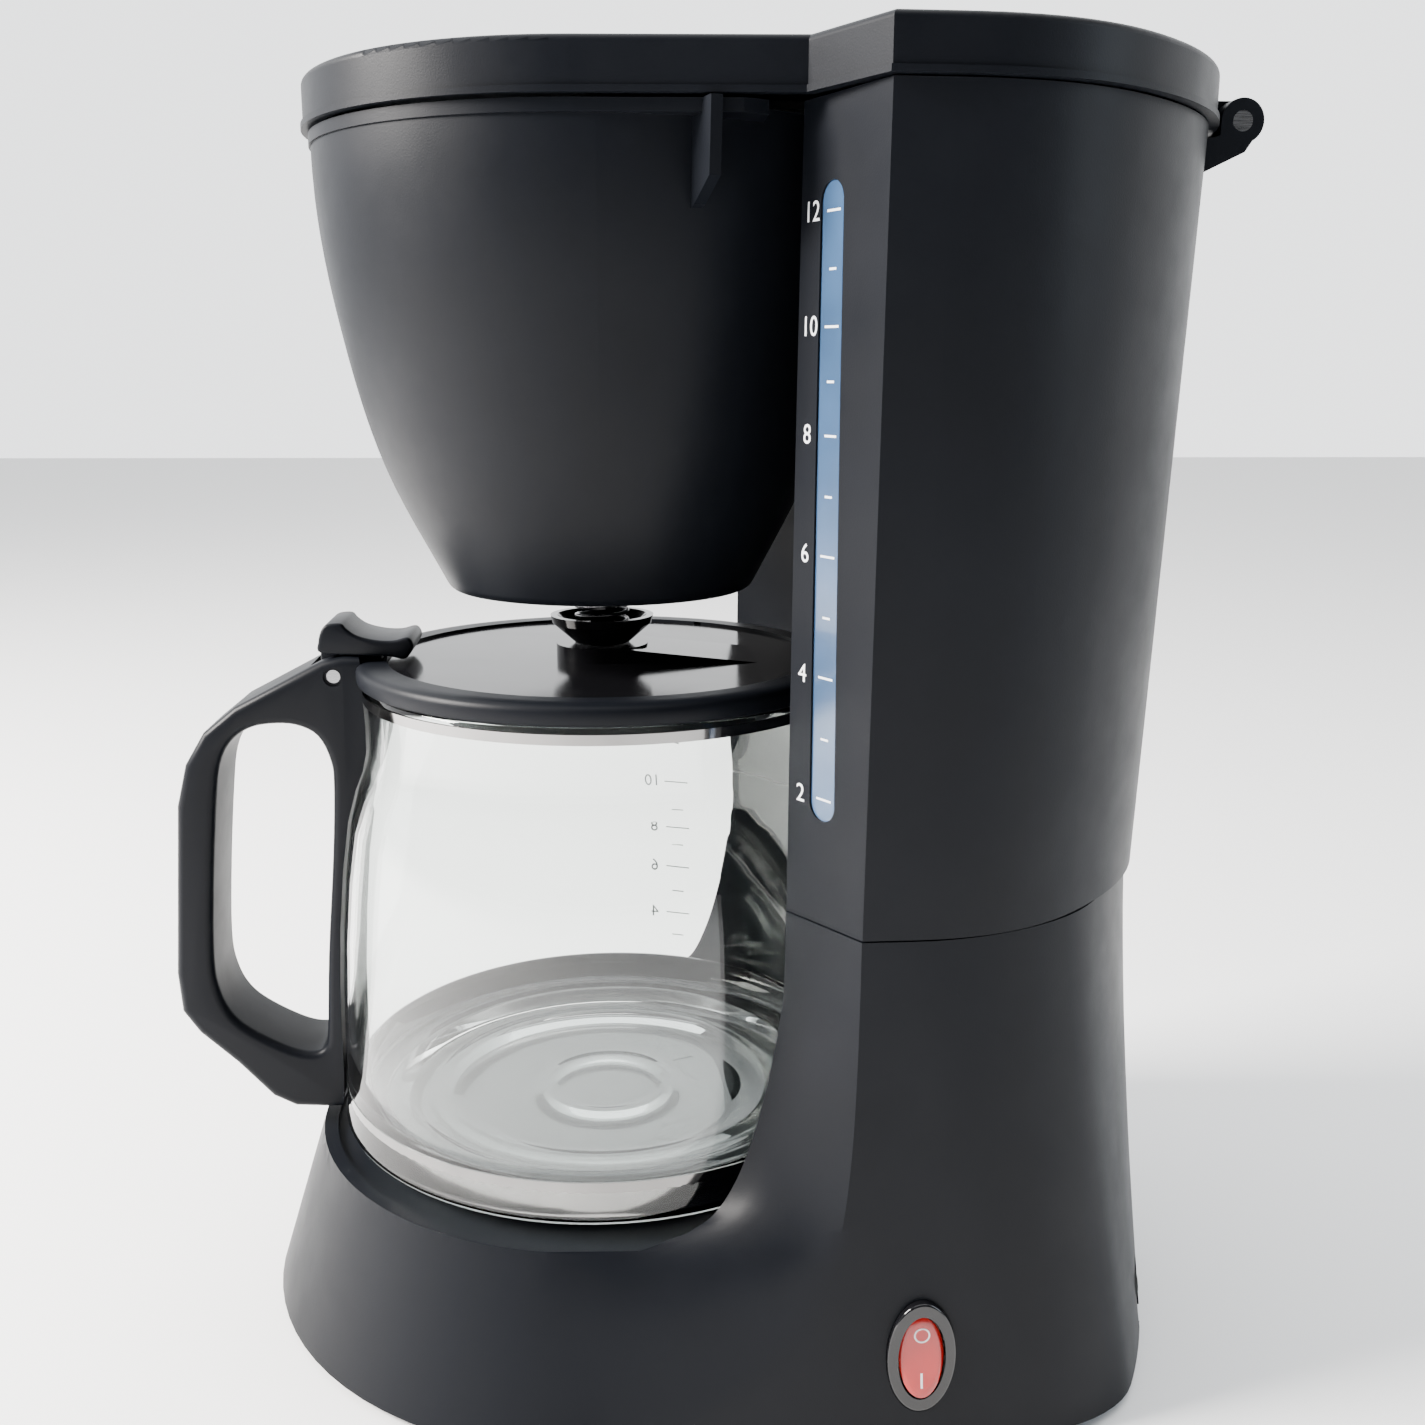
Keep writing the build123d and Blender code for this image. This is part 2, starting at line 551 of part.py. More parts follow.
def basket():
    outer = bowl(0.0)
    outer = fillet(outer.edges().sort_by(Axis.Z)[0], 3.5)
    flange = Pos(0, 0, BASKET_TOP - FLANGE_T) * extrude(lid_face(FLANGE_OUT - 1.6), FLANGE_T)
    flange = flange & disc(BAY_R - 1.0, BASKET_Z, TOWER_Z) & block(-90, 90, -90, 36.0, BASKET_Z, TOWER_Z)
    flange += disc(BASKET_R, BASKET_TOP - FLANGE_T, BASKET_TOP)
    out = (cos(radians(TAB_ANGLE)), sin(radians(TAB_ANGLE)))
    tab_low = BASKET_TOP - TAB_H
    profile = make_face(Polyline((BASKET_R - 6, BASKET_TOP), (BASKET_R - 6, tab_low - 2),
                                 (BASKET_R + 1, tab_low), (BASKET_R + TAB_REACH - 5, tab_low + 5),
                                 (BASKET_R + TAB_REACH - 4, BASKET_TOP), (BASKET_R - 6, BASKET_TOP)))
    tab = extrude(Plane((0, 0, 0), x_dir=(out[0], out[1], 0), z_dir=(out[1], -out[0], 0)) * profile,
                  TAB_T / 2, both=True)
    lug = disc(LUG_R, LUG_Z[1], LUG_Z[2], PIVOT_X, PIVOT_Y)
    lug += Rot(0, 0, degrees(atan2(PIVOT_Y, PIVOT_X))) * block(
        BASKET_R - 6, hypot(PIVOT_X, PIVOT_Y), -4, 4, LUG_Z[1], LUG_Z[2])
    body = outer + flange + tab + lug
    body += disc(10.5, BASKET_Z - SPRING_SEAT_H, BASKET_Z + 1)
    body -= bowl(BASKET_T)
    for k in range(12):
        body += (Rot(0, 0, 30 * k + 15) * block(30, 75, -0.7, 0.7, BASKET_Z + 1, LUG_Z[0])) \
            & (bowl(BASKET_T - 0.4) - disc(28, 0, 400) - bowl(BASKET_T + 1.8))
    body -= disc(VALVE_HOLE_R, BASKET_Z - 5, BASKET_Z + 6)
    body -= disc(PIVOT_PIN_R + RUN, LUG_Z[1] - 1, LUG_Z[2] + 1, PIVOT_X, PIVOT_Y)
    return body


def valve_plunger():
    outline = [(0, VALVE_Z), (7.4, VALVE_Z), (VALVE_CUP_R - 0.6, VALVE_CUP_TOP - 2.2),
               (VALVE_CUP_R, VALVE_CUP_TOP), (VALVE_CUP_R - 1.8, VALVE_CUP_TOP), (7.6, VALVE_Z + 2.0),
               (0, VALVE_Z + 2.0), (0, VALVE_Z)]
    cup = turned(Polyline([(x, 0, z) for x, z in outline]))
    return cup + disc(VALVE_STEM_R, VALVE_Z + 1, BASKET_Z + BASKET_T + 3.4)


def valve_seal():
    low = BASKET_Z + BASKET_T + 1.6
    return ring(6.4, VALVE_STEM_R + 0.02, low, low + 1.8)


def valve_spring():
    low, high = VALVE_Z + 2.0 + SPRING_WIRE_R + 0.05, BASKET_Z - SPRING_SEAT_H - SPRING_WIRE_R - 0.05
    path = Pos(0, 0, low) * Helix((high - low) / SPRING_TURNS, high - low, SPRING_R)
    return sweep(Plane(origin=path @ 0, z_dir=path % 0) * Circle(SPRING_WIRE_R), path, is_frenet=True)


# ---- jug -----------------------------------------------------------------------------------
def glass_outline(inset):
    floor = JUG_Z + inset
    foot = JUG_FOOT_R - inset
    body = JUG_BODY_R - inset
    edges = [Line((0, 0, floor), (foot - 3, 0, floor)),
             Line((foot - 3, 0, floor), (foot, 0, floor + 1.5)),
             Line((foot, 0, floor + 1.5), (body - 0.6, 0, floor + 4.0)),
             Spline([(body - 0.6, 0, floor + 4.0), (body, 0, 72.0),
                     (JUG_SHOULDER_R - inset, 0, JUG_SHOULDER_Z), (JUG_NECK_R - inset, 0, JUG_NECK_Z)],
                    tangents=[(0, 0, 1), (-0.25, 0, 1)]),
             Line((JUG_NECK_R - inset, 0, JUG_NECK_Z), (JUG_RIM_R - inset, 0, JUG_RIM_Z)),
             Line((JUG_RIM_R - inset, 0, JUG_RIM_Z), (0, 0, JUG_RIM_Z)),
             Line((0, 0, JUG_RIM_Z), (0, 0, floor))]
    return edges


def jug_glass():
    return turned(*glass_outline(0.0)) - turned(*glass_outline(GLASS))


def handle_region():
    """Side outline of the handle with its finger opening, edges rounded over."""
    top = JUG_PIN_Z + 4.4
    corners = [(-56, top), (-70, top), (-97, top - 11.3), (-109, top - 23.8), (-HANDLE_REACH, 90),
               (-HANDLE_REACH + 1, 80), (-95.5, 51), (-56, 51)]
    outer = make_face(Polyline(*corners, corners[0]))
    outer = fillet(outer.vertices().filter_by(lambda v: v.X < -60 and v.X > -108), 6.0)
    outer = fillet(outer.vertices().filter_by(lambda v: -117 < v.X < -107.5), 9.0)
    hole = make_face(Spline([(-102, top - 38.8), (-97, top - 24.8), (-86, top - 17.8), (-76, top - 22.8),
                             (-72.4, top - 39.8), (-74.5, 113), (-76.5, 84), (-78, 72), (-86, 68.5),
                             (-97, 74.5), (-104.5, 86), (-105, 104)],
                            periodic=True))
    plane = Plane((0, 0, 0), x_dir=(0, 1, 0), z_dir=(1, 0, 0))
    solid = extrude(plane * outer, HANDLE_W / 2, both=True)
    solid -= extrude(plane * hole, HANDLE_W, both=True)
    sides = solid.faces().filter_by(Axis.X)
    edges = [e for e in sides.edges() if e.bounding_box().max.Y < -57]
    return fillet(edges, HANDLE_ROUND)


def jug_handle():
    body = handle_region()
    body -= turned(*glass_outline(-HANDLE_GAP))
    body -= disc(JUG_LID_R + 1.2, JUG_RIM_Z - 0.6, 200)
    body -= disc(JUG_BODY_R + BAND_T + 0.15, BAND_Z - 0.2, BAND_Z + BAND_H + 0.2)
    body -= disc(JUG_RIM_R + NECK_BAND_T + 0.3, NECK_BAND_Z - 0.2, NECK_BAND_Z + NECK_BAND_H + 0.2)
    slot = THUMB_SLOT_W / 2
    body -= block(-slot, slot, JUG_PIN_Y - 6.5, -60, JUG_PIN_Z - 6.5, 190)
    body -= rod_x(JUG_PIN_R, -HANDLE_W, HANDLE_W, JUG_PIN_Y, JUG_PIN_Z)
    return body.solids().sort_by(SortBy.VOLUME)[-1]


def base_band():
    outer = turned(*glass_outline(-0.05 - BAND_T))
    inner = turned(*glass_outline(-0.05))
    return (outer - inner) & disc(90, BAND_Z, BAND_Z + BAND_H)


def neck_band():
    outer = turned(*glass_outline(-0.05 - NECK_BAND_T))
    inner = turned(*glass_outline(-0.05))
    return (outer - inner) & disc(90, NECK_BAND_Z, NECK_BAND_Z + NECK_BAND_H)


def jug_lid_pin():
    return rod_x(JUG_PIN_R, -HANDLE_W / 2 + 1, HANDLE_W / 2 - 1, JUG_PIN_Y, JUG_PIN_Z)


def jug_lid():
    rim = disc(JUG_LID_R, JUG_LID_Z, JUG_LID_TOP)
    rim = fillet(rim.edges().group_by(Axis.Z)[-1], 2.0)
    rim += disc(JUG_RIM_R - GLASS - 1.6, JUG_LID_Z - 4.0, JUG_LID_Z)
    rim -= disc(JUG_LID_WELL_R, JUG_LID_FLOOR_TOP - JUG_LID_T, JUG_LID_TOP + 1)
    rim -= disc(JUG_LID_WELL_R, JUG_LID_Z - 5, JUG_LID_FLOOR_TOP - JUG_LID_T - JUG_LID_T)
    stem = THUMB_SLOT_W / 2 - 0.5
    arm = block(-stem, stem, JUG_PIN_Y - 4, -60, JUG_PIN_Z - 3.5, JUG_PIN_Z + 8)
    arm -= block(-20, 20, -JUG_LID_WELL_R - 1, 0, 0, 200) + disc(JUG_LID_R, 0, JUG_LID_Z)
    side = [(-75, 11.1), (-69.5, 13.6), (-67, 10.6), (-61, 9.1), (-54, 9.6), (-50, 8.1), (-49, 5.1),
            (-51, 3.8), (-56, 5.0), (-66, 5.4), (-73.8, 6.0), (-75, 11.1)]
    saddle = Polyline(*[(y, JUG_PIN_Z + up) for y, up in side])
    plate = extrude(Plane((0, 0, 0), x_dir=(0, 1, 0), z_dir=(1, 0, 0)) * make_face(saddle),
                    THUMB_W / 2, both=True)
    body = rim + plate + arm
    body -= block(-stem - 20, -stem, JUG_PIN_Y - 8, -65.8, JUG_PIN_Z - 9, JUG_PIN_Z + 5.2)
    body -= rod_x(JUG_PIN_R + RUN, -HANDLE_W, HANDLE_W, JUG_PIN_Y, JUG_PIN_Z)
    return body


def lid_well():
    floor = disc(JUG_LID_WELL_R - 0.1, JUG_LID_FLOOR_TOP - JUG_LID_T, JUG_LID_FLOOR_TOP)
    ramp = make_face(Polyline((-LID_BOSS_R, JUG_LID_FLOOR_TOP - 1), (-LID_BOSS_R, BOSS_TOP), (6, BOSS_TOP),
                              (26, BOSS_TOP - 2.2), (RAMP_END_Y, JUG_LID_FLOOR_TOP - 1),
                              (-LID_BOSS_R, JUG_LID_FLOOR_TOP - 1)))
    wedge = extrude(Plane((0, 0, 0), x_dir=(0, 1, 0), z_dir=(1, 0, 0)) * ramp, LID_BOSS_R, both=True)
    wedge -= block(-20, 20, -20, 0, JUG_LID_FLOOR_TOP - 2, 200)
    body = floor + wedge + disc(LID_BOSS_R, JUG_LID_FLOOR_TOP - 1, BOSS_TOP)
    return body - disc(4.0, JUG_LID_FLOOR_TOP - JUG_LID_T - 1, BOSS_TOP + 1)


# ---- switch --------------------------------------------------------------------------------
def switch_bezel():
    body = oval(BEZEL_W, BEZEL_H, PANEL_X - BEZEL_SUNK, PANEL_X + BEZEL_PROUD)
    body = fillet(body.edges().sort_by(Axis.X)[-1], 0.7)
    body += oval(BEZEL_W - 3.6, BEZEL_H - 3.6, PANEL_X - 8, PANEL_X + 0.2)
    return body - oval(ROCKER_W + 2 * MOVE, ROCKER_H + 4 * MOVE, PANEL_X - 9, PANEL_X + 5)


def rocker():
    """Shallow V of two faces, tipped so that its lower half stands proud."""
    body = oval(ROCKER_W, ROCKER_H, PANEL_X - 5.5, PANEL_X + 2.6)
    body &= rod_y(ROCKER_H / 2 + 0.2, SWITCH_Y - 10, SWITCH_Y + 10, ROCKER_AXIS_X, SWITCH_Z)
    for s in (1, -1):
        cutter = Pos(PANEL_X + 0.8, SWITCH_Y, SWITCH_Z) * Rot(0, s * ROCKER_TILT, 0) * Box(
            8, 20, 30, align=(Align.MIN, Align.CENTER, Align.MIN if s > 0 else Align.MAX))
        body -= cutter
    axis = Pos(ROCKER_AXIS_X, 0, SWITCH_Z)
    return axis * Rot(0, -ROCKER_TILT, 0) * Pos(-ROCKER_AXIS_X, 0, -SWITCH_Z) * body


def switch_body():
    body = block(PANEL_X - 8.2 - SWITCH_BODY_D, PANEL_X - 8.2, SWITCH_Y - 6.2, SWITCH_Y + 6.2,
                 SWITCH_Z - 11, SWITCH_Z + 11)
    return body


def switch_terminals():
    x = PANEL_X - 8.2 - SWITCH_BODY_D
    return group([block(x - 8, x, SWITCH_Y - 3, SWITCH_Y + 3, SWITCH_Z + d - 0.4, SWITCH_Z + d + 0.4)
                              for d in (-7.0, 0.0, 7.0)])


def cord_gland():
    reach = REAR_BASE - 10.0
    body = rod_y(GLAND_R - 0.2, reach - 11, reach - 2, GLAND_X, GLAND_Z)
    body += rod_y(GLAND_R + 1.6, reach - 13, reach - 10, GLAND_X, GLAND_Z)
    return body - rod_y(GLAND_BORE, 0, 200, GLAND_X, GLAND_Z)


def terminal_block():
    body = block(14, 40, 118, 128, 6.0, 18.0)
    for x in (20.0, 27.0, 34.0):
        body -= disc(2.0, 12.0, 19.0, x, 123.0)
    return body


cold_hose, hot_hose = hoses()
node("base_shell", base_shell())
node("bottom_cover", bottom_cover())
node("rubber_feet", feet())
node("bottom_screws", bottom_screws())
node("hot_plate", hot_plate())
node("heater_sheath", bent_tube(SHEATH_LOOP_R, SHEATH_R, SHEATH_END_Y))
node("heater_water_tube", bent_tube(TUBE_LOOP_R, TUBE_R, LEG_END_Y)
     - bent_tube(TUBE_LOOP_R, TUBE_BORE, LEG_END_Y + 1))
node("heat_spreader", heat_spreader())
node("element_clamp", clamp_bridge())
node("thermostat", thermostat())
node("thermal_fuses", thermal_fuses())
node("element_terminals", element_terminals())
node("cold_water_hose", cold_hose)
node("hot_water_hose", hot_hose)
node("hose_clamps", clamps())
node("check_valve_ball", Pos(INLET_X, INLET_Y, SEAM_Z - 8) * Sphere(BARB_R - 1.4))
node("tower_shell", tower_shell())
node("water_gauge_window", gauge_window())
node("riser_and_spout", riser_and_spout())
node("lid_hinge_pin", rod_x(HINGE_PIN_R, -EAR_OUT, EAR_OUT, HINGE_Y, HINGE_Z))
node("tank_lid", lid())
node("basket_pivot_pin", disc(PIVOT_PIN_R, LUG_Z[0] - 1, LUG_Z[3] + 0.4, PIVOT_X, PIVOT_Y))
node("filter_basket", basket())
node("drip_valve_plunger", valve_plunger())
node("drip_valve_seal", valve_seal())
node("drip_valve_spring", valve_spring())
node("jug_glass", jug_glass())
node("jug_base_band", base_band())
node("jug_neck_band", neck_band())
node("jug_handle", jug_handle())
node("jug_lid_pin", jug_lid_pin())
node("jug_lid", jug_lid())
node("jug_lid_well", lid_well())
node("switch_bezel", switch_bezel())
node("switch_rocker", rocker())
node("switch_body", switch_body())
node("switch_terminals", switch_terminals())
node("cord_gland", cord_gland())
node("terminal_block", terminal_block())

for name, shape in parts.items():
    export_step(shape, f"parts/{name}.step")
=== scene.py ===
from math import acos, atan2, cos, exp, hypot, pi, radians, sin, sqrt

import bpy
from bpy.props import FloatProperty, FloatVectorProperty, IntProperty, PointerProperty
from mathutils import Matrix, Vector


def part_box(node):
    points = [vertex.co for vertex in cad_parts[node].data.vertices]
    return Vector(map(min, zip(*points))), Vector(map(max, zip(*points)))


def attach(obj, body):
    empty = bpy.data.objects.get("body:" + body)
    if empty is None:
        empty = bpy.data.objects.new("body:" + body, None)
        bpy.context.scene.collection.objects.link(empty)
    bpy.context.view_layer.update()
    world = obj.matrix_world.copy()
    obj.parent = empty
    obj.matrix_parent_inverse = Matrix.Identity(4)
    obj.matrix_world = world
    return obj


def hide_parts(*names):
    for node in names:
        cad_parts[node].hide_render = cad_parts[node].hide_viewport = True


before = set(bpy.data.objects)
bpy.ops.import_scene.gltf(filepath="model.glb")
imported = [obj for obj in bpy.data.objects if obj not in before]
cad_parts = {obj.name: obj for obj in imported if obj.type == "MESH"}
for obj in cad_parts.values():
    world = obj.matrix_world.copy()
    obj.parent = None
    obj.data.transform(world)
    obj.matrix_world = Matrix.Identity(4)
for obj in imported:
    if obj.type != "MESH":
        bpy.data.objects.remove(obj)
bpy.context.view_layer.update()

bl_info = {
    "name": "Drip coffee maker",
    "version": (1, 0, 0),
    "blender": (4, 5, 0),
    "location": "View3D > Sidebar > Coffee",
    "description": "Shapes and finishes of a drip coffee maker with a glass jug",
    "category": "Add Mesh",
}

MM = 0.001


def box_middle(node):
    low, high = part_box(node)
    return [(a + b) / 2 for a, b in zip(low, high)]


AXIS_Y = box_middle("jug_glass")[1]          # the jug axis, in the frame

# Sizes in millimetres about the jug axis, as the frame has them.
WALL = 2.5
BASE_Z, RIM_Z, SEAM_Z, TOWER_Z = 2.5, 46.5, 127.0, 306.7
BAY_R, SKIRT_R = 79.7, 93.4
SIDE_BASE, SIDE_SEAM, SIDE_TOP = 93.6, 88.5, 96.5
REAR_BASE, REAR_SEAM = 151.4, 142.9
CORNER_Y, CREASE_START_Y, CREASE_RISE = 57.0, 7.0, 20.0
CHEEK_SWEEP, CHEEK_END_R, FLARE_POWER = 64.0, 3.2, 1.33
TOWER_FRONT_Y = 18.0
DECK_T, RIM_W, RIM_H = 4.0, 3.7, 1.5
PLATE_HOLE_R = 60.0
GLAND_X, GLAND_Z, GLAND_R = 50.0, 13.6, 6.0
SWITCH_Y, SWITCH_Z = 73.0, 24.3
BEZEL_W, BEZEL_H, BEZEL_SUNK = 16.6, 28.8, 0.8
GAUGE_LOW, GAUGE_HIGH, GAUGE_SHARE = 152.0, 290.0, 0.40
SIDE_END_BACK, BULGE_IN, BULGE_BACK = (74, 52), (20.5, 15.6), (28, 21)   # at the seam, at the base


# ---- small helpers -------------------------------------------------------------------------
def deselect():
    if bpy.context.object and bpy.context.object.mode != "OBJECT":
        bpy.ops.object.mode_set(mode="OBJECT")
    bpy.ops.object.select_all(action="DESELECT")


def activate(obj):
    deselect()
    obj.select_set(True)
    bpy.context.view_layer.objects.active = obj


def settle(obj):
    """Put the object's place into its mesh, so that the object is at the origin."""
    activate(obj)
    bpy.ops.object.transform_apply(location=True, rotation=True, scale=True)


def smooth(obj, angle=35):
    activate(obj)
    bpy.ops.object.shade_smooth_by_angle(angle=radians(angle))


def point(x, y, z):
    """A place given in millimetres about the jug axis, in the frame's metres."""
    return Vector((x * MM, y * MM + AXIS_Y, z * MM))


def apply_modifier(obj, kind, **settings):
    activate(obj)
    modifier = obj.modifiers.new(kind.lower(), kind)
    for key, value in settings.items():
        setattr(modifier, key, value)
    bpy.ops.object.modifier_apply(modifier=modifier.name)


def cut(obj, tool, operation="DIFFERENCE"):
    apply_modifier(obj, "BOOLEAN", object=tool, operation=operation, solver="EXACT")
    bpy.data.objects.remove(tool)


def paint(obj, material):
    obj.data.materials.clear()
    obj.data.materials.append(material)


def finish_piece(obj, name, body, material):
    obj.name = name
    obj.data.name = name
    paint(obj, material)
    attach(obj, body)
    return obj


def select_faces(obj, test):
    """In edit mode, leave only the faces that pass the test selected."""
    bpy.ops.mesh.select_all(action="DESELECT")
    bpy.ops.object.mode_set(mode="OBJECT")
    for face in obj.data.polygons:
        face.select = test(face)
    bpy.ops.object.mode_set(mode="EDIT")


def ring_stack(profile, sides=96):
    """Turned shape: a filled disc grown ring by ring along (radius, height) in millimetres."""
    deselect()
    radius, height = profile[0]
    bpy.ops.mesh.primitive_circle_add(vertices=sides, radius=radius * MM, fill_type="NGON",
                                      location=point(0, 0, height))
    obj = bpy.context.object
    bpy.ops.object.mode_set(mode="EDIT")
    bpy.ops.mesh.select_mode(type="FACE")
    bpy.ops.mesh.select_all(action="SELECT")
    for next_radius, next_height in profile[1:]:
        bpy.ops.mesh.extrude_region_move(
            TRANSFORM_OT_translate={"value": (0, 0, (next_height - height) * MM)})
        share = next_radius / radius
        bpy.ops.transform.resize(value=(share, share, 1), center_override=point(0, 0, next_height))
        radius, height = next_radius, next_height
    bpy.ops.mesh.select_all(action="SELECT")
    bpy.ops.mesh.normals_make_consistent(inside=False)
    bpy.ops.object.mode_set(mode="OBJECT")
    settle(obj)
    return obj


# ---- materials -----------------------------------------------------------------------------
def new_material(name):
    material = bpy.data.materials.new(name)
    material.use_nodes = True
    return material, material.node_tree, material.node_tree.nodes["Principled BSDF"]


def noise(tree, coords, scale, detail=4.0, roughness=0.6):
    node = tree.nodes.new("ShaderNodeTexNoise")
    node.inputs["Scale"].default_value = scale
    node.inputs["Detail"].default_value = detail
    node.inputs["Roughness"].default_value = roughness
    tree.links.new(coords.outputs["Object"], node.inputs["Vector"])
    return node


def remap(tree, source, low, high):
    node = tree.nodes.new("ShaderNodeMapRange")
    node.inputs["From Min"].default_value = 0.3
    node.inputs["From Max"].default_value = 0.7
    node.inputs["To Min"].default_value = low
    node.inputs["To Max"].default_value = high
    tree.links.new(source, node.inputs["Value"])
    return node.outputs["Result"]


def bump(tree, shader, source, strength, distance):
    node = tree.nodes.new("ShaderNodeBump")
    node.inputs["Strength"].default_value = strength
    node.inputs["Distance"].default_value = distance
    tree.links.new(source, node.inputs["Height"])
    tree.links.new(node.outputs["Normal"], shader.inputs["Normal"])


def blend_colours(tree, source, first, second):
    ramp = tree.nodes.new("ShaderNodeValToRGB")
    ramp.color_ramp.elements[0].position = 0.35
    ramp.color_ramp.elements[0].color = (*first, 1)
    ramp.color_ramp.elements[1].position = 0.65
    ramp.color_ramp.elements[1].color = (*second, 1)
    tree.links.new(source, ramp.inputs["Fac"])
    return ramp.outputs["Color"]


def surfaced(name, first, second, rough, grain, grain_height, metallic=0.0, cloud=18.0, specular=0.5):
    """Opaque finish: two close tones in soft clouds, uneven gloss and a fine moulded grain."""
    material, tree, shader = new_material(name)
    coords = tree.nodes.new("ShaderNodeTexCoord")
    clouds = noise(tree, coords, cloud, 3.0)
    tree.links.new(blend_colours(tree, clouds.outputs["Fac"], first, second), shader.inputs["Base Color"])
    fine = noise(tree, coords, grain, 2.0, 0.5)
    patch = noise(tree, coords, cloud * 3, 4.0)
    tree.links.new(remap(tree, patch.outputs["Fac"], rough[0], rough[1]), shader.inputs["Roughness"])
    bump(tree, shader, fine.outputs["Fac"], 0.35, grain_height)
    shader.inputs["Metallic"].default_value = metallic
    shader.inputs["Specular IOR Level"].default_value = specular
    return material


def satin_black(base):
    tone = tuple(base)
    lighter = tuple(c * 1.25 for c in tone)
    return surfaced("satin_black_plastic", tone, lighter, (0.38, 0.46), 2600.0, 0.00006,
                    specular=0.11)


def gloss_black():
    return surfaced("piano_black_plastic", (0.004, 0.004, 0.005), (0.006, 0.006, 0.007),
                    (0.04, 0.07), 400.0, 0.000004)


def lid_gloss():
    return surfaced("lid_polished_black", (0.003, 0.003, 0.0035), (0.005, 0.005, 0.006),
                    (0.1, 0.16), 500.0, 0.000004, specular=0.16)


def brushed(name, tone):
    """Metal with fine lines drawn along its height."""
    material, tree, shader = new_material(name)
    coords = tree.nodes.new("ShaderNodeTexCoord")
    mapping = tree.nodes.new("ShaderNodeMapping")
    mapping.inputs["Scale"].default_value = (1, 1, 40)
    tree.links.new(coords.outputs["Object"], mapping.inputs["Vector"])
    lines = tree.nodes.new("ShaderNodeTexNoise")
    lines.inputs["Scale"].default_value = 90.0
    tree.links.new(mapping.outputs["Vector"], lines.inputs["Vector"])
    tree.links.new(remap(tree, lines.outputs["Fac"], 0.22, 0.34), shader.inputs["Roughness"])
    bump(tree, shader, lines.outputs["Fac"], 0.1, 0.00002)
    shader.inputs["Base Color"].default_value = (*tone, 1)
    shader.inputs["Metallic"].default_value = 1.0
    return material


def clear_glass():
    material, tree, shader = new_material("jug_glass")
    coords = tree.nodes.new("ShaderNodeTexCoord")
    waves = noise(tree, coords, 14.0, 1.0)
    bump(tree, shader, waves.outputs["Fac"], 0.06, 0.001)
    shader.inputs["Base Color"].default_value = (0.955, 0.985, 0.972, 1)
    shader.inputs["Roughness"].default_value = 0.0
    shader.inputs["IOR"].default_value = 1.47
    shader.inputs["Transmission Weight"].default_value = 1.0
    return material


def tinted_plastic(name, tone, transmission):
    material, tree, shader = new_material(name)
    coords = tree.nodes.new("ShaderNodeTexCoord")
    clouds = noise(tree, coords, 40.0, 2.0)
    lighter = tuple(c * 1.3 for c in tone)
    tree.links.new(blend_colours(tree, clouds.outputs["Fac"], tone, lighter), shader.inputs["Base Color"])
    bump(tree, shader, clouds.outputs["Fac"], 0.05, 0.0004)
    shader.inputs["Roughness"].default_value = 0.22
    shader.inputs["Transmission Weight"].default_value = transmission
    shader.inputs["Coat Weight"].default_value = 0.4
    return material


FINISHES = {}


# name, two close tones, roughness from and to, fineness and height of the grain, metallic
MOULDED = {
    "rubber": ("soft_rubber", (0.012, 0.012, 0.012), (0.02, 0.02, 0.02), (0.6, 0.75), 900, 0.0001, 0),
    "silicone": ("silicone_hose", (0.62, 0.62, 0.58), (0.7, 0.7, 0.66), (0.4, 0.5), 700, 0.00004, 0),
    "mirror": ("polished_steel", (0.2, 0.195, 0.19), (0.3, 0.295, 0.29), (0.05, 0.12), 60, 0.00002, 1),
    "aluminium": ("cast_aluminium", (0.6, 0.6, 0.6), (0.7, 0.7, 0.7), (0.35, 0.5), 500, 0.0001, 1),
    "coating": ("plate_coating", (0.045, 0.053, 0.062), (0.06, 0.07, 0.08), (0.28, 0.4), 1500, 0.00003, 0),
    "brass": ("plated_brass", (0.6, 0.45, 0.2), (0.7, 0.55, 0.27), (0.25, 0.4), 400, 0.00003, 1),
    "white": ("white_plastic", (0.62, 0.61, 0.57), (0.7, 0.69, 0.65), (0.4, 0.5), 900, 0.00004, 0),
    "print": ("white_print", (0.75, 0.77, 0.8), (0.85, 0.86, 0.88), (0.5, 0.6), 900, 0.00002, 0),
    "grey_print": ("grey_print", (0.4, 0.41, 0.42), (0.5, 0.51, 0.52), (0.5, 0.6), 900, 0.00002, 0),
}


def make_finishes(colours):
    FINISHES.update({
        "satin": satin_black(colours.housing),
        "gloss": gloss_black(),
        "lid_gloss": lid_gloss(),
        "steel": brushed("brushed_steel", (0.55, 0.55, 0.56)),
        "spring": brushed("spring_wire", (0.32, 0.32, 0.33)),
        "glass": clear_glass(),
        "blue": tinted_plastic("gauge_blue", tuple(colours.gauge), 0.25),
        "red": tinted_plastic("rocker_red", tuple(colours.rocker), 0.0),
    })
    for key, (name, first, second, rough, grain, height, metallic) in MOULDED.items():
        FINISHES[key] = surfaced(name, first, second, rough, grain, height, metallic=metallic)


